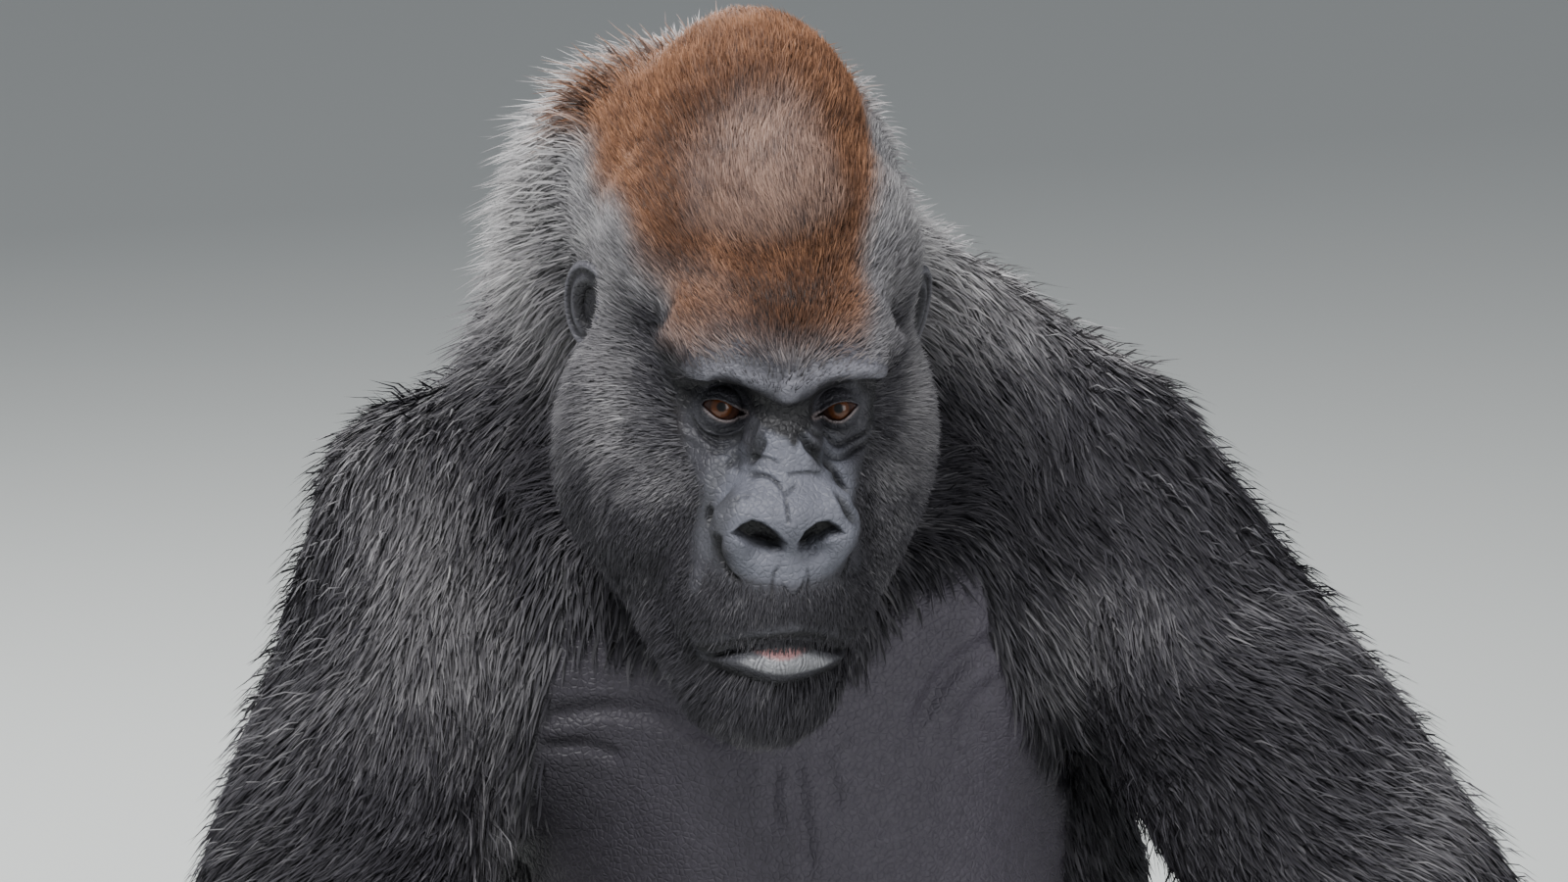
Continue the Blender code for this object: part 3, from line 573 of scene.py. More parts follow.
def drift(points, span, seed=0):
    """A smooth random field over space, about -1 to 1, that changes over a distance of `span` metres."""
    total = 0
    for number, (wave, pace) in enumerate(zip(WAVES, WAVE_PACES)):
        total = total + np.sin(points @ np.roll(wave, seed) * (pace * 3.1 / span) + number * (seed + 1.3))
    return total / 5.2


# the groove round the pad of the forehead, where the hair is painted dark as shade, and the edges of the rust
# cap, in the head's centimetres
PAD_EDGE = ((-6.0, 9.5), (-5.7, 12.6), (-4.1, 15.0), (-2.0, 16.8), (0.7, 17.2), (2.5, 16.0), (3.8, 14.0),
            (4.4, 11.5))
RUST_EDGE, RUST_BACK = 8.7, 16.0


def markings(points, facing):
    """Shares of rust and of silver in the hair at each point, and how dark it is: the coat's own pattern, with
    painted shade in the groove round the forehead pad.
    """
    across, ahead, up = in_head(points).T
    front = ramp(ahead, -6, -2)
    from_head_middle = np.linalg.norm(points - np.array(head_middle), axis=1)
    near_head = ramp(-from_head_middle, -0.27, -0.20)
    near_crown = ramp(-from_head_middle, -0.32, -0.26)
    rise = (up - RUST_EDGE + 1.7 * ramp(ahead, 4, 11) - 2.6 * ramp(across, 3.5, 7.5)
            + 0.9 * ramp(-across, 3, 8) + 0.7 * drift(points, 0.05, 1))
    rust = ramp(rise, -1.3, 1.6) * (1 - ramp(-ahead, RUST_BACK - 3, RUST_BACK + 3)) * near_crown
    pad = ramp(inside_ring(across, up, PAD_EDGE), -0.2, 1.2) * front
    # painted shade along the groove round the pad, wider and deeper on the animal's right
    groove_width = 0.85 + 0.75 * ramp(-across, 2, 5)
    groove_shade = np.exp(-(from_line(across, up, PAD_EDGE)[0] / groove_width) ** 2) * front
    brow_patch = np.exp(-((across + 0.3) / 3.9) ** 2 - ((up - 8.1) / 2.8) ** 2) * front
    dark_and_groove_shade = (0.62 * groove_shade * (0.4 + 0.6 * ramp(-across, -3, 2)) + 0.95 * brow_patch
            - 0.10 * pad * (1 - brow_patch))
    rust = rust * (1 - 0.30 * pad * (1 - brow_patch))
    beside_face = ramp(-inside_ring(across, up, BARE_FACE), 0.2, 3.4)
    beside_face = np.maximum(beside_face, np.maximum(ramp(-ahead, -6, -1), 0.75 * ramp(up, 4.5, 6.5)))
    temple = ((0.08 + 0.30 * ramp(up, -9, -2) + 0.20 * ramp(up, -2, 5)) * (0.15 + 0.85 * beside_face)
              * near_head)
    nape = 0.80 * ramp(-ahead, 5, 13) * ramp(points[:, 2], 0.74, 0.88)
    back = ramp(facing[:, 1] + 0.35 * facing[:, 2], -0.1, 0.55) * ramp(points[:, 1], -0.08, 0.10)
    mid_back = ramp(-np.abs(points[:, 0] + 0.02), -0.26, -0.16)
    saddle = 0.66 * back * ramp(points[:, 2], 0.10, 0.30) * mid_back
    grizzled = 0.07 + 0.17 * drift(points, 0.09, 2) + 0.09 * ramp(-points[:, 0], 0.05, 0.20)
    limbs = grizzled * (0.45 + 0.55 * ramp(points[:, 2], 0.28, 0.50))
    greyed = np.where(near_head > 0.5, temple + 0.06 * drift(points, 0.04, 2), limbs)
    silver = np.maximum(np.maximum(saddle, nape), greyed)
    return rust, np.clip(silver, 0, 1), np.clip(dark_and_groove_shade, -0.3, 1)


rust, silver, dark_and_groove_shade = markings(hide, hide_normals)

# ---------------------------------------------------------------- colour of the skin
# Gorilla skin is black: slate on the brow and nose, blacker round the eyes and chin, purplish grey on the
# chest, and pale only at the lower lip. Painted light lies over it: a highlight on the brow ridge, shade in the
# sockets, creases, nostrils and at the top of the lower lip, and the chest lighter on its lit side. Under the
# coat it takes the coat's own markings, darker.
BLACK_SKIN_AND_SHADE, FACE_SKIN, SLATE = (0.010, 0.0095, 0.0115), (0.046, 0.045, 0.054), (0.135, 0.139, 0.168)
BROW_HIGHLIGHT, CHEEK_SKIN, CHEST_SKIN = (0.195, 0.192, 0.222), (0.018, 0.014, 0.014), (0.066, 0.059, 0.075)
NOSE_SIDE, LIP, LIP_MIDDLE = (0.075, 0.076, 0.088), (0.25, 0.25, 0.265), (0.34, 0.17, 0.17)
LID_RIM, INNER_LID = (0.24, 0.20, 0.20), (0.04, 0.014, 0.012)
RUST_SKIN, SILVER_SKIN = (0.10, 0.040, 0.018), (0.10, 0.10, 0.105)      # added where the coat is rust or silver
# patches of the face: colour, how far they reach from their line, how soft their edge is, and the line
PATCHES = ((CHEEK_SKIN, 1.1, 1.0, ((-6.5, 1.0), (-6.3, -1.5), (-6.2, -4.0))),
           (CHEEK_SKIN, 1.1, 1.0, ((7.4, 0.4), (6.6, -1.8), (6.4, -4.0))),
           (SLATE, 2.0, 1.0, ((-0.2, 1.4), (-0.2, 0.0))),
           (SLATE, 3.2, 1.4, ((-1.6, -2.0), (2.0, -1.9))),
           (SLATE, 1.7, 0.9, ((-2.2, -4.2), (0.1, -4.3), (2.5, -4.1))),
           (NOSE_SIDE, 0.8, 0.8, ((-3.7, -0.9), (-4.4, -2.2), (-4.5, -4.0), (-4.6, -5.2))),
           # the brow ridge and the middle of the brow painted paler, as a highlight where the light from above
           # falls on them
           (BROW_HIGHLIGHT, 1.05, 1.1, BROW),
           (BROW_HIGHLIGHT, 0.9, 0.6, ((-0.25, 4.8), (-0.1, 5.6))),
           # black in the sockets under the brow and at their outer corners: the skin's own black, with painted
           # shade in the deep sockets
           (BLACK_SKIN_AND_SHADE, 1.05, 0.5, UNDER_BROW),
           (BLACK_SKIN_AND_SHADE, 0.8, 0.5, ((-1.4, 3.0), (0.1, 2.7), (1.4, 3.1))),
           (BLACK_SKIN_AND_SHADE, 0.42, 0.3, ((0.0, 2.9), (0.25, 2.1))),
           (BLACK_SKIN_AND_SHADE, 0.7, 0.6, ((-6.1, 2.8), (-5.7, 1.6))),
           (BLACK_SKIN_AND_SHADE, 0.8, 0.6, ((6.3, 3.2), (6.2, 1.8), (6.1, 0.8))),
           (BLACK_SKIN_AND_SHADE, 0.95, 0.7, ((-3.4, -12.3), (-1.3, -12.6), (0.4, -12.7), (2.1, -12.8), (4.1, -12.4))),
           (BLACK_SKIN_AND_SHADE, 0.55, 0.45, ((-4.4, -11.4), (-2.0, -9.7), (0.4, -8.9), (2.2, -9.3), (5.0, -11.4))))


def washed(hue, colour, share):
    """A share of one colour laid over others."""
    return hue + (np.array(colour) - hue) * np.reshape(share, (-1, 1))


def paint_points(mesh, title, values):
    """Keeps a colour or a share at each point of a mesh, for its finish to read."""
    if values.ndim == 2:
        field = mesh.attributes.new(title, "FLOAT_COLOR", "POINT")
        values = np.column_stack([values, np.ones(len(values))])
        field.data.foreach_set("color", values.astype(np.float32).ravel())
    else:
        field = mesh.attributes.new(title, "FLOAT", "POINT")
        field.data.foreach_set("value", values.astype(np.float32))


def new_finish(name, sockets):
    """A material with these values on its shader's own sockets, and its node tree to build on."""
    finish = bpy.data.materials.new(name)
    finish.use_nodes = True
    for socket, value in sockets.items():
        finish.node_tree.nodes["Principled BSDF"].inputs[socket].default_value = value
    return finish, finish.node_tree


def add_node(tree, kind, sockets, **settings):
    """A node with its settings, and its sockets fed with numbers or with what other nodes put out."""
    node = tree.nodes.new("ShaderNode" + kind)
    for setting, value in settings.items():
        setattr(node, setting, value)
    for socket, value in sockets.items():
        if isinstance(value, bpy.types.NodeSocket):
            tree.links.new(value, node.inputs[socket])
        else:
            node.inputs[socket].default_value = value
    return node


def at_points(tree, title, output):
    """What the points of a mesh keep under this title."""
    return add_node(tree, "Attribute", {}, attribute_name=title).outputs[output]


nearby = KDTree(len(hide))
for index, point in enumerate(hide):
    nearby.insert(point, index)
nearby.balance()
points = points_of(skin.data)
under = np.array([nearby.find(point)[1] for point in points])
hue = np.array(BLACK_SKIN_AND_SHADE) + (rust * (1 - 0.8 * np.maximum(dark_and_groove_shade, 0)))[under, None] * RUST_SKIN
hue = hue + silver[under, None] * SILVER_SKIN
across, ahead, up = in_head(points).T
# painted light on the bare chest: lighter towards the animal's left and upwards, darker low on its right as
# painted shade
lit_side = 0.45 + 0.75 * ramp(across + 0.6 * (up + 30), -12, 10)
hue += (np.array(CHEST_SKIN) * lit_side[:, None] - hue) * on_chest[under, None]
bare = bareness(points)
hue = washed(hue, FACE_SKIN, bare)
on_face = np.flatnonzero(bare > 0.001)
x, y, paint = across[on_face], up[on_face], hue[on_face]
for colour, reach, edge, line in PATCHES:
    far, _ = from_line(x, y, line)
    paint = washed(paint, colour, ramp(-far, -reach, edge - reach))
# the pale lower lip stops short of the mouth line, so its top stays dark as painted shade under the upper lip
lip_share = ramp(lower_lip(x, y), -0.05, 0.30) * ramp(from_line(x, y, MOUTH)[0], 0.25, 0.75)
paint += (np.array(LIP) * (1 - 0.55 * lip_lines[:, None]) - paint) * lip_share[:, None]
paint = washed(paint, LIP_MIDDLE, ramp(-np.hypot((x - 0.1) / 1.6, (y + 10.3) / 0.36), -1.25, -0.6))
# painted shade: the beds of the folds and the insides of the nostrils darkened
paint = paint * np.exp(-5.0 * np.clip(crease_shade, 0, 0.35))[:, None] * (1 - 0.97 * inside_nose[:, None])
hue[on_face] += (paint - hue[on_face]) * bare[on_face, None]
hue = washed(hue, LID_RIM, 0.9 * lid_rim)
hue = washed(hue, INNER_LID, in_opening)
paint_points(skin.data, "hue", np.clip(hue, 0, 1))
wet = np.maximum(lid_rim, in_opening)
wet[on_face] = np.maximum(wet[on_face], 0.7 * lip_share)
paint_points(skin.data, "wet", wet)

# Its finish: a mottle over the colours, a net of fine lines and creases in relief, and gloss where it is wet.
MOTTLE, NET, GRAIN_MARKS, CREASES = 160, 240, 420, 70            # how many to a metre
DRY, WET = 0.52, 0.24                                            # roughness
RELIEF_DEPTH = 0.0010
skin_finish, tree = new_finish("skin", {"Specular IOR Level": 0.42})
shader = tree.nodes["Principled BSDF"]
place = add_node(tree, "TexCoord", {}).outputs["Object"]
mottle = add_node(tree, "TexNoise", {"Vector": place, "Scale": MOTTLE, "Detail": 6})
strength = add_node(tree, "MapRange", {"Value": mottle.outputs["Fac"], "To Min": 0.72, "To Max": 1.28})
skin_hue = at_points(tree, "hue", "Color")
mottled = add_node(tree, "VectorMath", {0: skin_hue, "Scale": strength.outputs["Result"]}, operation="SCALE")
gloss = add_node(tree, "MapRange", {"Value": at_points(tree, "wet", "Fac"), "To Min": DRY, "To Max": WET})
cells = add_node(tree, "TexVoronoi", {"Vector": place, "Scale": NET}, feature="DISTANCE_TO_EDGE")
grain = add_node(tree, "TexNoise", {"Vector": place, "Scale": GRAIN_MARKS, "Detail": 5})
creases = add_node(tree, "TexNoise", {"Vector": place, "Scale": CREASES, "Detail": 2})
net = add_node(tree, "Math", {0: cells.outputs["Distance"], 1: 0.22}, operation="MINIMUM")
net_and_creases = add_node(tree, "Math", {0: net.outputs[0], 1: 2.2, 2: creases.outputs["Fac"]},
                           operation="MULTIPLY_ADD")
relief = add_node(tree, "Math", {0: grain.outputs["Fac"], 1: 0.55, 2: net_and_creases.outputs[0]},
                  operation="MULTIPLY_ADD")
bump = add_node(tree, "Bump", {"Strength": 0.8, "Distance": RELIEF_DEPTH, "Height": relief.outputs[0]})
tree.links.new(mottled.outputs["Vector"], shader.inputs["Base Color"])
tree.links.new(gloss.outputs["Result"], shader.inputs["Roughness"])
tree.links.new(bump.outputs["Normal"], shader.inputs["Normal"])
skin.data.materials.clear()
skin.data.materials.append(skin_finish)

# The smoothest stretches give up faces, so that the skin stays a light sheet.
SKIN_TRIANGLES = 195000
skin.data.calc_loop_triangles()
thinner = skin.modifiers.new("thinner", "DECIMATE")
thinner.ratio = SKIN_TRIANGLES / len(skin.data.loop_triangles)
skin.data = settled(skin)
skin.modifiers.clear()

# ---------------------------------------------------------------- eyes
# Each eyeball is a ball with a swell over the iris, turned up to look out from under the brow: brown iris,
# black pupil, and a white of the eye that is dark brown, as gorillas have. It fills the CAD eyeball's place.
IRIS, PUPIL, IRIS_SWELL, EYE_CLEARANCE = 0.0072, 0.0028, 0.0009, 0.0001
IRIS_LIGHT, IRIS_DARK = (0.105, 0.032, 0.008), (0.020, 0.007, 0.004)
EYE_WHITE, PUPIL_BLACK = (0.045, 0.018, 0.012), (0.003, 0.003, 0.003)


def make_piece(name, mesh, finish, slot, *stands_for):
    """A finished mesh as a piece of its own, on the animal's one body, in place of the solids named last."""
    mesh.update()
    mesh.shade_smooth()
    mesh.materials.append(finish)
    piece = bpy.data.objects.new(name, mesh)
    bpy.context.scene.collection.objects.link(piece)
    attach(piece, "root")
    if stands_for:
        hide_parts(*stands_for)


def new_ball(name, rings, radius):
    """The mesh of a ball of 72 sides, round the origin with its poles on z."""
    ball = bmesh.new()
    bmesh.ops.create_uvsphere(ball, u_segments=72, v_segments=rings, radius=radius)
    mesh = bpy.data.meshes.new(name)
    ball.to_mesh(mesh)
    ball.free()
    return mesh


eye_finish, tree = new_finish("eye", {"Roughness": 0.35, "Specular IOR Level": 0.2, "Coat Weight": 0.6,
                                      "Coat Roughness": 0.03})
tree.links.new(at_points(tree, "hue", "Color"), tree.nodes["Principled BSDF"].inputs["Base Color"])

for side in SIDES:
    mesh = new_ball("eyeball_" + side, 56, EYE_RADIUS - EYE_CLEARANCE)
    places = points_of(mesh)
    from_axis = np.hypot(places[:, 0], places[:, 1])
    front = places[:, 2] > 0
    turn = np.arctan2(places[:, 1], places[:, 0])
    places[:, 2] += IRIS_SWELL * front * (1 - ramp(from_axis, IRIS * 0.5, IRIS * 1.15))
    streaks = 0.5 + 0.3 * np.sin(turn * 31 + 2 * np.sin(turn * 5)) + 0.2 * np.sin(turn * 17)
    in_iris = front * ramp(-from_axis, -IRIS * 1.12, -IRIS * 0.98)
    in_ring = front * ramp(-from_axis, -IRIS * 0.98, -IRIS * 0.80) * (0.60 + 0.40 * streaks)
    in_pupil = front * ramp(-from_axis, -PUPIL * 1.25, -PUPIL * 0.9)
    hue = washed(np.tile(EYE_WHITE, (len(places), 1)), IRIS_DARK, in_iris)
    hue = washed(washed(hue, IRIS_LIGHT, in_ring), PUPIL_BLACK, in_pupil)
    put_points(mesh, places @ GAZE_AXES + np.array(eye_centre[side]))
    paint_points(mesh, "hue", hue)
    make_piece("eyeball_" + side, mesh, eye_finish, "eye", "eye_" + side)

# ---------------------------------------------------------------- ears
# Thin upright ears of bare dark skin: a rolled rim, a groove and a ridge inside it, a knob in front, and a
# deep hollow over the ear hole. Each stands off behind at the CAD ear's place, sunk a little into the head.
EAR_AT = (10.3, -1.0, 2.1)                  # its middle, in the head's centimetres, on the left
EAR_REACH, EAR_HEIGHT = 2.0, 3.0
EAR_FLARE = math.radians(38)
EAR_ROOT_RIDGE = ((0.55, 0.20), (0.2, 0.22), (-0.1, 0.12))
EAR_SKIN, EAR_RIDGE_HIGHLIGHT = (0.020, 0.019, 0.023), (0.115, 0.112, 0.128)

for side, sign in SIDES.items():
    mesh = new_ball("ear_shell_" + side, 48, 1)
    inward, rise, face = points_of(mesh).T
    edge = np.hypot(inward, rise)
    behind = ramp(-inward, -0.25, 0.25)
    ridge_far = np.abs(np.hypot(inward + 0.02, rise * 0.94) - 0.56)
    rim = 0.35 + 0.65 * np.maximum(behind, ramp(rise, 0.3, 0.7))
    relief = (0.30 * np.exp(-((edge - 0.90) / 0.085) ** 2) * rim
              + 0.17 * np.exp(-(ridge_far / 0.10) ** 2) * np.maximum(behind, 0.25)
              - 0.55 * ramp(-np.hypot(inward - 0.10, (rise + 0.05) * 0.8), -0.46, -0.22)
              + 0.22 * np.exp(-(from_line(inward, rise, EAR_ROOT_RIDGE)[0] / 0.10) ** 2)
              + 0.30 * np.exp(-(np.hypot(inward - 0.55, rise + 0.12) / 0.16) ** 2)
              + 0.10 * np.exp(-(np.hypot(inward, rise + 0.85) / 0.2) ** 2))
    front = (0.06 + relief) * np.sqrt(np.clip(1 - edge ** 8, 0, 1))
    back = -0.26 * np.sqrt(np.clip(1 - edge ** 4, 0, 1))
    thick = np.where(face >= 0, front, back) - 0.10 * inward ** 2
    flare = np.array([[-math.sin(EAR_FLARE) * sign, math.cos(EAR_FLARE), 0], [0, 0, 1],
                      [math.cos(EAR_FLARE) * sign, math.sin(EAR_FLARE), 0]])
    local = np.column_stack([inward * EAR_REACH * (1 + 0.10 * rise), rise * EAR_HEIGHT, thick])
    places = from_head(local @ flare + np.array(EAR_AT) * (sign, 1, 1))
    # painted light: the raised folds lighter as a highlight, and the hollows black as painted shade
    light = ramp(relief, 0.02, 0.28) * (face >= 0)
    hue = washed(np.tile(EAR_SKIN, (len(places), 1)), EAR_RIDGE_HIGHLIGHT, light)
    hue = washed(hue, BLACK_SKIN_AND_SHADE, ramp(-relief, 0.05, 0.3) * (face >= 0))
    put_points(mesh, places)
    if sign > 0:
        mesh.flip_normals()
    paint_points(mesh, "hue", hue)
    paint_points(mesh, "wet", 0.25 * light)
    make_piece("ear_shell_" + side, mesh, skin_finish, "bare_skin", "ear_" + side)

# ---------------------------------------------------------------- coat
# The hair itself, in fine flat tufts that taper to a point, closer set and shorter on the head than on the
# body. Each tuft is rooted in the skin, rises at its own angle and bends over with the lie of the coat.
TUFT_PATCH = 0.003          # across each tuft in the coat's own map
# rows of a tuft: its share of the length, and its points' places across the width
BLADE = ((0.0, (-0.5, 0.5)), (0.55, (-0.36, 0.36)), (1.0, (0.0,)))
BLADE_FACES = ((0, 1, 3), (0, 3, 2), (2, 3, 4))
ROOT_SINK, LEAST_HEIGHT = 0.0006, 0.0005        # below the skin at the root, and above the floor
hide_mesh.calc_loop_triangles()
hide_triangles = np.empty(len(hide_mesh.loop_triangles) * 3, np.int32)
hide_mesh.loop_triangles.foreach_get("vertices", hide_triangles)
hide_triangles = hide_triangles.reshape(-1, 3)
first, second, third = hide[hide_triangles].transpose(1, 0, 2)
triangle_area = np.linalg.norm(np.cross(second - first, third - first), axis=1) / 2


def weighed(tree, first, share, second, other_share):
    """Two shares, each times its own weight, added and held between 0 and 1."""
    parts = [add_node(tree, "Math", {0: part, 1: weight}, operation="MULTIPLY").outputs[0]
             for part, weight in ((first, share), (second, other_share))]
    return add_node(tree, "Math", {0: parts[0], 1: parts[1]}, operation="ADD", use_clamp=True).outputs[0]


def colours_along(tree, share, stops):
    """A run of colours, read off at a share."""
    node = add_node(tree, "ValToRGB", {"Fac": share})
    for _ in stops[2:]:
        node.color_ramp.elements.new(0.5)
    for element, (place, colour) in zip(node.color_ramp.elements, stops):
        element.position = place
        element.color = (*colour, 1)
    return node.outputs["Color"]


# Hair is black through grey to silver, or rust paler to the tip on the crown; painted shade darkens each tuft
# to its root.
BLACK_TO_SILVER = ((0.0, (0.012, 0.011, 0.014)), (0.25, (0.055, 0.052, 0.062)), (0.55, (0.26, 0.25, 0.26)),
                   (1.0, (0.80, 0.78, 0.77)))
BROWN_TO_RUST = ((0.0, (0.026, 0.015, 0.012)), (0.40, (0.14, 0.060, 0.030)), (1.0, (0.54, 0.26, 0.135)))
ROOT_SHADE_TO_TIP = ((0.0, (0.5, 0.5, 0.5)), (1.0, (1.0, 1.0, 1.0)))
hair_finish, tree = new_finish("coat", {"Roughness": 0.62, "Specular IOR Level": 0.35})
tone, tip = at_points(tree, "tone", "Fac"), at_points(tree, "tip", "Fac")
silver_there, rust_there = at_points(tree, "silver", "Fac"), at_points(tree, "rust", "Fac")
grey = colours_along(tree, weighed(tree, silver_there, 0.70, tone, 0.36), BLACK_TO_SILVER)
red = colours_along(tree, weighed(tree, tone, 0.7, tip, 0.3), BROWN_TO_RUST)
mixed = add_node(tree, "Mix", {"Factor": rust_there, "A": grey, "B": red}, data_type="RGBA")
shade = add_node(tree, "Mix", {"Factor": 1, "A": mixed.outputs["Result"],
                               "B": colours_along(tree, tip, ROOT_SHADE_TO_TIP)},
                 data_type="RGBA", blend_type="MULTIPLY")
tree.links.new(shade.outputs["Result"], tree.nodes["Principled BSDF"].inputs["Base Color"])


def lay_coat(name, weight, count, width, seed, unroll, slot, frizz=0.0):
    """Roots tufts over part of the hide, as thickly as `weight` says there, and lays them as one mesh."""
    chance = np.random.default_rng(seed)
    total = np.cumsum(triangle_area * weight[hide_triangles].mean(axis=1))
    picks = (np.arange(count) + chance.random(count)) / count * total[-1]
    chosen = hide_triangles[np.minimum(np.searchsorted(total, picks), len(total) - 1)]
    a, b = chance.random((2, count))
    flip = a + b > 1
    a[flip], b[flip] = 1 - a[flip], 1 - b[flip]
    mix = np.stack([1 - a - b, a, b], axis=1)[:, :, None]

    def at_root(values):
        """What holds at the hide's points, mixed for the place of each root."""
        values = np.asarray(values, float)
        return (values.reshape(len(values), -1)[chosen] * mix).sum(axis=1)

    root, out, run = at_root(hide), unit(at_root(hide_normals)), at_root(lie)
    out_angle = at_root(hair_lift)[:, 0]
    length = at_root(hair_length)[:, 0] * chance.uniform(0.72, 1.18, count)
    swirl = 0.22 * drift(root, 0.07, 1) + chance.normal(0, 0.14, count)
    run = unit(run - out * np.sum(run * out, axis=1, keepdims=True))
    side = np.cross(out, run)
    run = run * np.cos(swirl)[:, None] + side * np.sin(swirl)[:, None]
    side = np.cross(out, run)
    out_angle = out_angle * (1 + 0.12 * drift(root, 0.06, 3)) + chance.normal(0, 0.09, count)
    stray = chance.random(count) < frizz
    out_angle = np.where(stray, out_angle + chance.uniform(0.3, 0.9, count), out_angle)
    twist = chance.normal(0, 0.45, count)
    wave = chance.normal(0, 0.05, count) + 0.10 * drift(root, 0.03, 2)
    wide = width * chance.uniform(0.75, 1.25, count)

    # row by row, each tuft climbs from its root and bends over, with its points loose round the row's middle
    rows, tip_share = [], []
    place, share_before = root - out * ROOT_SINK, 0.0
    spread_dir = side * np.cos(twist)[:, None] + out * np.sin(twist)[:, None]
    for share, spots in BLADE:
        step = (share - share_before) * length
        middle_share = (share + share_before) / 2
        angle = out_angle * (1.25 - 1.05 * middle_share)
        place = place + (run * np.cos(angle)[:, None] + out * np.sin(angle)[:, None]) * step[:, None]
        place = place + side * (wave * step * math.cos(3.0 * middle_share))[:, None]
        share_before = share
        for spot in spots:
            loose = chance.normal(0, 0.02 + 0.05 * (share == 1.0), count) * length * (share > 0)
            rows.append(place + spread_dir * (wide * spot)[:, None] + out * loose[:, None] * 0.6
                        + run * loose[:, None])
            tip_share.append(share)
    points = np.stack(rows, axis=1)
    points[..., 2] = np.maximum(points[..., 2], LEAST_HEIGHT)
    per_tuft = points.shape[1]
    offsets = (np.arange(count) * per_tuft)[:, None, None]
    triangles = (np.array(BLADE_FACES)[None] + offsets).reshape(-1, 3)

    mesh = bpy.data.meshes.new(name)
    mesh.vertices.add(count * per_tuft)
    mesh.vertices.foreach_set("co", points.astype(np.float32).ravel())
    mesh.loops.add(len(triangles) * 3)
    mesh.loops.foreach_set("vertex_index", triangles.astype(np.int32).ravel())
    mesh.polygons.add(len(triangles))
    mesh.polygons.foreach_set("loop_start", np.arange(0, len(triangles) * 3, 3, dtype=np.int32))
    mesh.update(calc_edges=True)

    flat = unroll(root)
    flat = 0.02 + 0.955 * (flat - flat.min(axis=0)) / np.ptp(flat, axis=0)
    across_share = np.concatenate([np.array(spots) for _, spots in BLADE])
    spot_uv = np.stack([(across_share + 0.7) / 1.4, np.array(tip_share)], axis=1) * TUFT_PATCH
    uv = (flat[:, None, :] + spot_uv[None]).reshape(-1, 2)[triangles.ravel()]
    layer = mesh.uv_layers.new(name="OFBake")
    layer.uv.foreach_set("vector", uv.astype(np.float32).ravel())

    tone = 0.5 + 0.10 * drift(root, 0.012, 4) + chance.normal(0, 0.17, count) - 0.55 * at_root(dark_and_groove_shade)[:, 0]
    for title, values in (("rust", at_root(rust)[:, 0]), ("silver", at_root(silver)[:, 0]), ("tone", tone)):
        paint_points(mesh, title, np.repeat(values, per_tuft))
    paint_points(mesh, "tip", np.tile(tip_share, count))
    make_piece(name, mesh, hair_finish, slot)


def around(middle, axis=Vector((0, 0, 1))):
    """An unwrap of the hide as a tube about an axis: the turn about it, and the place along it."""
    turn = axis.to_track_quat("Z", "Y").to_matrix()
    first, second, third = (np.array(column) for column in turn.transposed())

    def flat(points):
        reach = points - np.array(middle)
        return np.stack([np.arctan2(reach @ first, reach @ second), reach @ third], axis=1)
    return flat


def grown_on(*nodes):
    """1 over the named parts of the hide, 0 elsewhere."""
    return np.isin(owner, nodes).astype(float)


furred = 1 - bareness(hide)
crown_share = ramp(in_head(hide)[:, 2], 1.5, 4.5)
is_head = np.isin(kind_of, ("head", "lower_jaw", "muzzle")) * furred
fore = ramp(in_head(hide)[:, 1], -3.5, -1.5)
front_of_trunk = ramp(-hide_normals[:, 1], -0.15, 0.35)
trunk_hair = grown_on("belly_and_rump", "chest") * (1 - on_chest)
in_front, on_top = ramp(-hide_normals[:, 1], -0.3, 0.3), ramp(hide_normals[:, 2], 0.2, 0.6)
across, ahead, up = in_head(hide).T
beard = ramp(-np.abs(up + 7.9), -2.6, -1.2) + ramp(-np.abs(up + 13.4), -1.3, -0.7)
brow_hairs = 0.10 * ramp(-from_line(across, up, BROW)[0], -1.3, -0.6)
stubble = np.where(bareness(hide) > 0.02, beard * ramp(ahead, 10, 13) + brow_hairs, 0) * ramp(ahead, 8, 10)

# each stretch: how thickly it grows, how many tufts, their width, a seed for chance, and an unwrap
round_head = around(head_middle, FORWARD)
round_trunk = around(BODY + Vector((0, -0.05, 0.4)))
lay_coat("coat_forehead", is_head * crown_share * fore, 62000, 0.0010, 11, round_head, "crown_coat")
lay_coat("coat_crown", is_head * crown_share * (1 - fore), 40000, 0.0011, 14, round_head, "crown_coat")
lay_coat("coat_face", is_head * (1 - crown_share), 62000, 0.0010, 12, round_head, "crown_coat")
lay_coat("coat_nape", grown_on("neck"), 38000, 0.0014, 13, around(head_middle, Vector((0, 1, -0.8))),
         "silver_coat", frizz=0.12)
lay_coat("coat_back", trunk_hair * (1 - front_of_trunk), 38000, 0.0027, 50, round_trunk, "silver_coat")
lay_coat("coat_belly", trunk_hair * front_of_trunk, 17000, 0.0022, 51, round_trunk, "dark_coat")
lay_coat("coat_stubble", stubble, 10000, 0.0007, 60, round_head, "crown_coat")
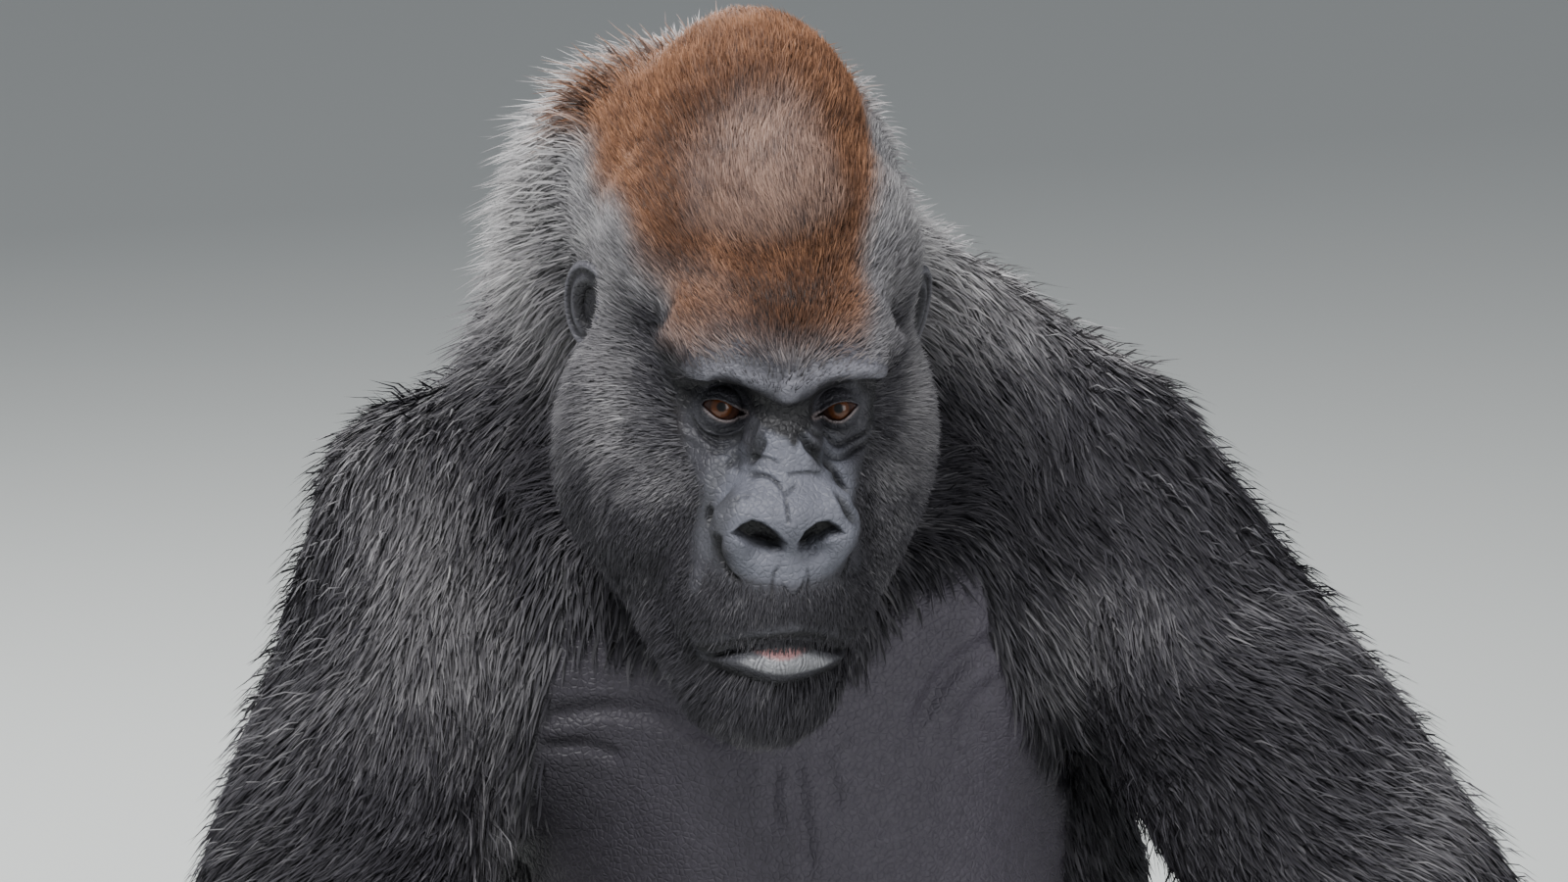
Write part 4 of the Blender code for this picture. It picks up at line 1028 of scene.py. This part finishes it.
for number, side in enumerate(SIDES):
    lay_coat("coat_upper_arm_" + side, grown_on("upper_arm_" + side), 62000, 0.0016, 20 + number,
             around(SHOULDER[side], ELBOW[side] - SHOULDER[side]), "dark_coat", frizz=0.06)
    lay_coat("coat_forearm_" + side, grown_on("forearm_" + side), 28000, 0.0018, 30 + number,
             around(ELBOW[side], WRIST[side] - ELBOW[side]), "dark_coat")
    lay_coat("coat_leg_" + side, grown_on("thigh_" + side, "shin_" + side), 18000, 0.0026, 40 + number,
             around(HIP[side], KNEE[side] - HIP[side]), "dark_coat")
    lay_coat("coat_hand_" + side, grown_on("hand_" + side) * in_front, 4000, 0.0014, 70 + number,
             around(WRIST[side]), "dark_coat")
    lay_coat("coat_foot_" + side, grown_on("foot_" + side) * on_top, 4000, 0.0012, 80 + number,
             around(ANKLE[side]), "dark_coat")

# ---------------------------------------------------------------- nails
# Flat dark nails, as on a human hand: four fingers curled under at the knuckles, a thumb, and five toes a
# foot. Each is a thin rounded plate bedded on the skin at the end of its digit.
NAIL = Vector((0.0062, 0.0072, 0.0016))                    # half its width, length and thickness
# places from the wrist, and from the middle of the heel on the ground, on the left
FINGER_SPREAD, FINGER_TIP = (-0.0515, -0.0172, 0.0172, 0.0515), Vector((0, 0.005, -0.124))
THUMB_TIP, BIG_TOE = Vector((-0.090, -0.036, -0.068)), Vector((-0.066, -0.134, 0.045))
TOE_SPREAD, TOE_SPLAY = (-0.008, 0.021, 0.048, 0.072), 1.16
TOE_REACH, TOE_STEP, TOE_HEIGHT = 0.184, 0.010, 0.036       # each toe is a step shorter than the one before
FOOT_TURN = math.radians(14)
nail_finish, _ = new_finish("nail", {"Base Color": (0.035, 0.028, 0.026, 1), "Roughness": 0.34})
skin_faces = [face.vertices[:] for face in skin.data.polygons]
skin_tree = BVHTree.FromPolygons(points_of(skin.data).tolist(), skin_faces)


def add_nail(plates, near, along, size):
    """A plate bedded on the skin nearest to a place, its length turned along the digit."""
    bed, normal, _, _ = skin_tree.find_nearest(near)
    along = (along - normal * along.dot(normal)).normalized()
    turn = Matrix((along.cross(normal), along, normal)).transposed().to_4x4()
    bmesh.ops.create_uvsphere(plates, u_segments=20, v_segments=12, radius=1,
                              matrix=Matrix.Translation(bed) @ turn @ Matrix.Diagonal((*size, 1)))


for side, sign in SIDES.items():
    turn = Matrix.Rotation(sign * FOOT_TURN, 3, "Z")
    mirrored = Matrix.Diagonal((sign, 1, 1))
    heel = Vector((ANKLE[side].x, ANKLE[side].y, 0))
    hand_nails, foot_nails = bmesh.new(), bmesh.new()
    for spread in FINGER_SPREAD:
        tip = WRIST[side] + FINGER_TIP + Vector((sign * spread, 0, 0))
        add_nail(hand_nails, tip, Vector((0, 0.8, 0.55)), NAIL)
    add_nail(hand_nails, WRIST[side] + mirrored @ THUMB_TIP, mirrored @ Vector((-0.8, -0.25, -0.6)),
             NAIL * 0.95)
    for number, spread in enumerate(TOE_SPREAD):
        tip = Vector((sign * spread * TOE_SPLAY, -(TOE_REACH - TOE_STEP * number), TOE_HEIGHT))
        add_nail(foot_nails, heel + turn @ tip, turn @ Vector((0, -1, -0.3)), NAIL)
    add_nail(foot_nails, heel + turn @ mirrored @ BIG_TOE, turn @ mirrored @ Vector((-0.3, -1, -0.3)),
             NAIL * 1.5)
    for name, plates in (("nails_hand_", hand_nails), ("nails_foot_", foot_nails)):
        mesh = bpy.data.meshes.new(name + side)
        plates.to_mesh(mesh)
        plates.free()
        make_piece(name + side, mesh, nail_finish, "bare_skin")

# ---------------------------------------------------------------- floor and lights
# A plain pale floor, and soft studio light: a large lamp high in front on the animal's right, a weaker one
# low on its left, and one behind that rims the hair. None of them is part of the model.
floor_mesh = bpy.data.meshes.new("floor")
slab = bmesh.new()
bmesh.ops.create_grid(slab, x_segments=1, y_segments=1, size=20)
slab.to_mesh(floor_mesh)
slab.free()
floor = bpy.data.objects.new("floor", floor_mesh)
bpy.context.scene.collection.objects.link(floor)
floor_finish, _ = new_finish("pale_floor", {"Base Color": (0.62, 0.64, 0.62, 1), "Roughness": 0.9})
floor_mesh.materials.append(floor_finish)

world = bpy.data.worlds.new("studio")
bpy.context.scene.world = world
world.use_nodes = True
world.node_tree.nodes["Background"].inputs["Color"].default_value = (0.80, 0.84, 0.90, 1)
world.node_tree.nodes["Background"].inputs["Strength"].default_value = 0.34


def soft_light(name, place, target, size, power):
    """A square softbox, turned to face a point."""
    lamp = bpy.data.lights.new(name, "AREA")
    lamp.size = size
    lamp.energy = power
    box = bpy.data.objects.new(name, lamp)
    box.location = place
    box.rotation_mode = "QUATERNION"
    box.rotation_quaternion = (Vector(target) - Vector(place)).to_track_quat("-Z", "Y")
    bpy.context.scene.collection.objects.link(box)


soft_light("key", (-0.9, -1.9, 3.4), (0, -0.3, 0.7), 1.1, 135)
soft_light("fill", (2.4, -2.6, 1.6), (0, -0.2, 0.6), 2.0, 44)
soft_light("back", (-0.9, 2.2, 2.8), (0, 0, 0.9), 1.2, 130)
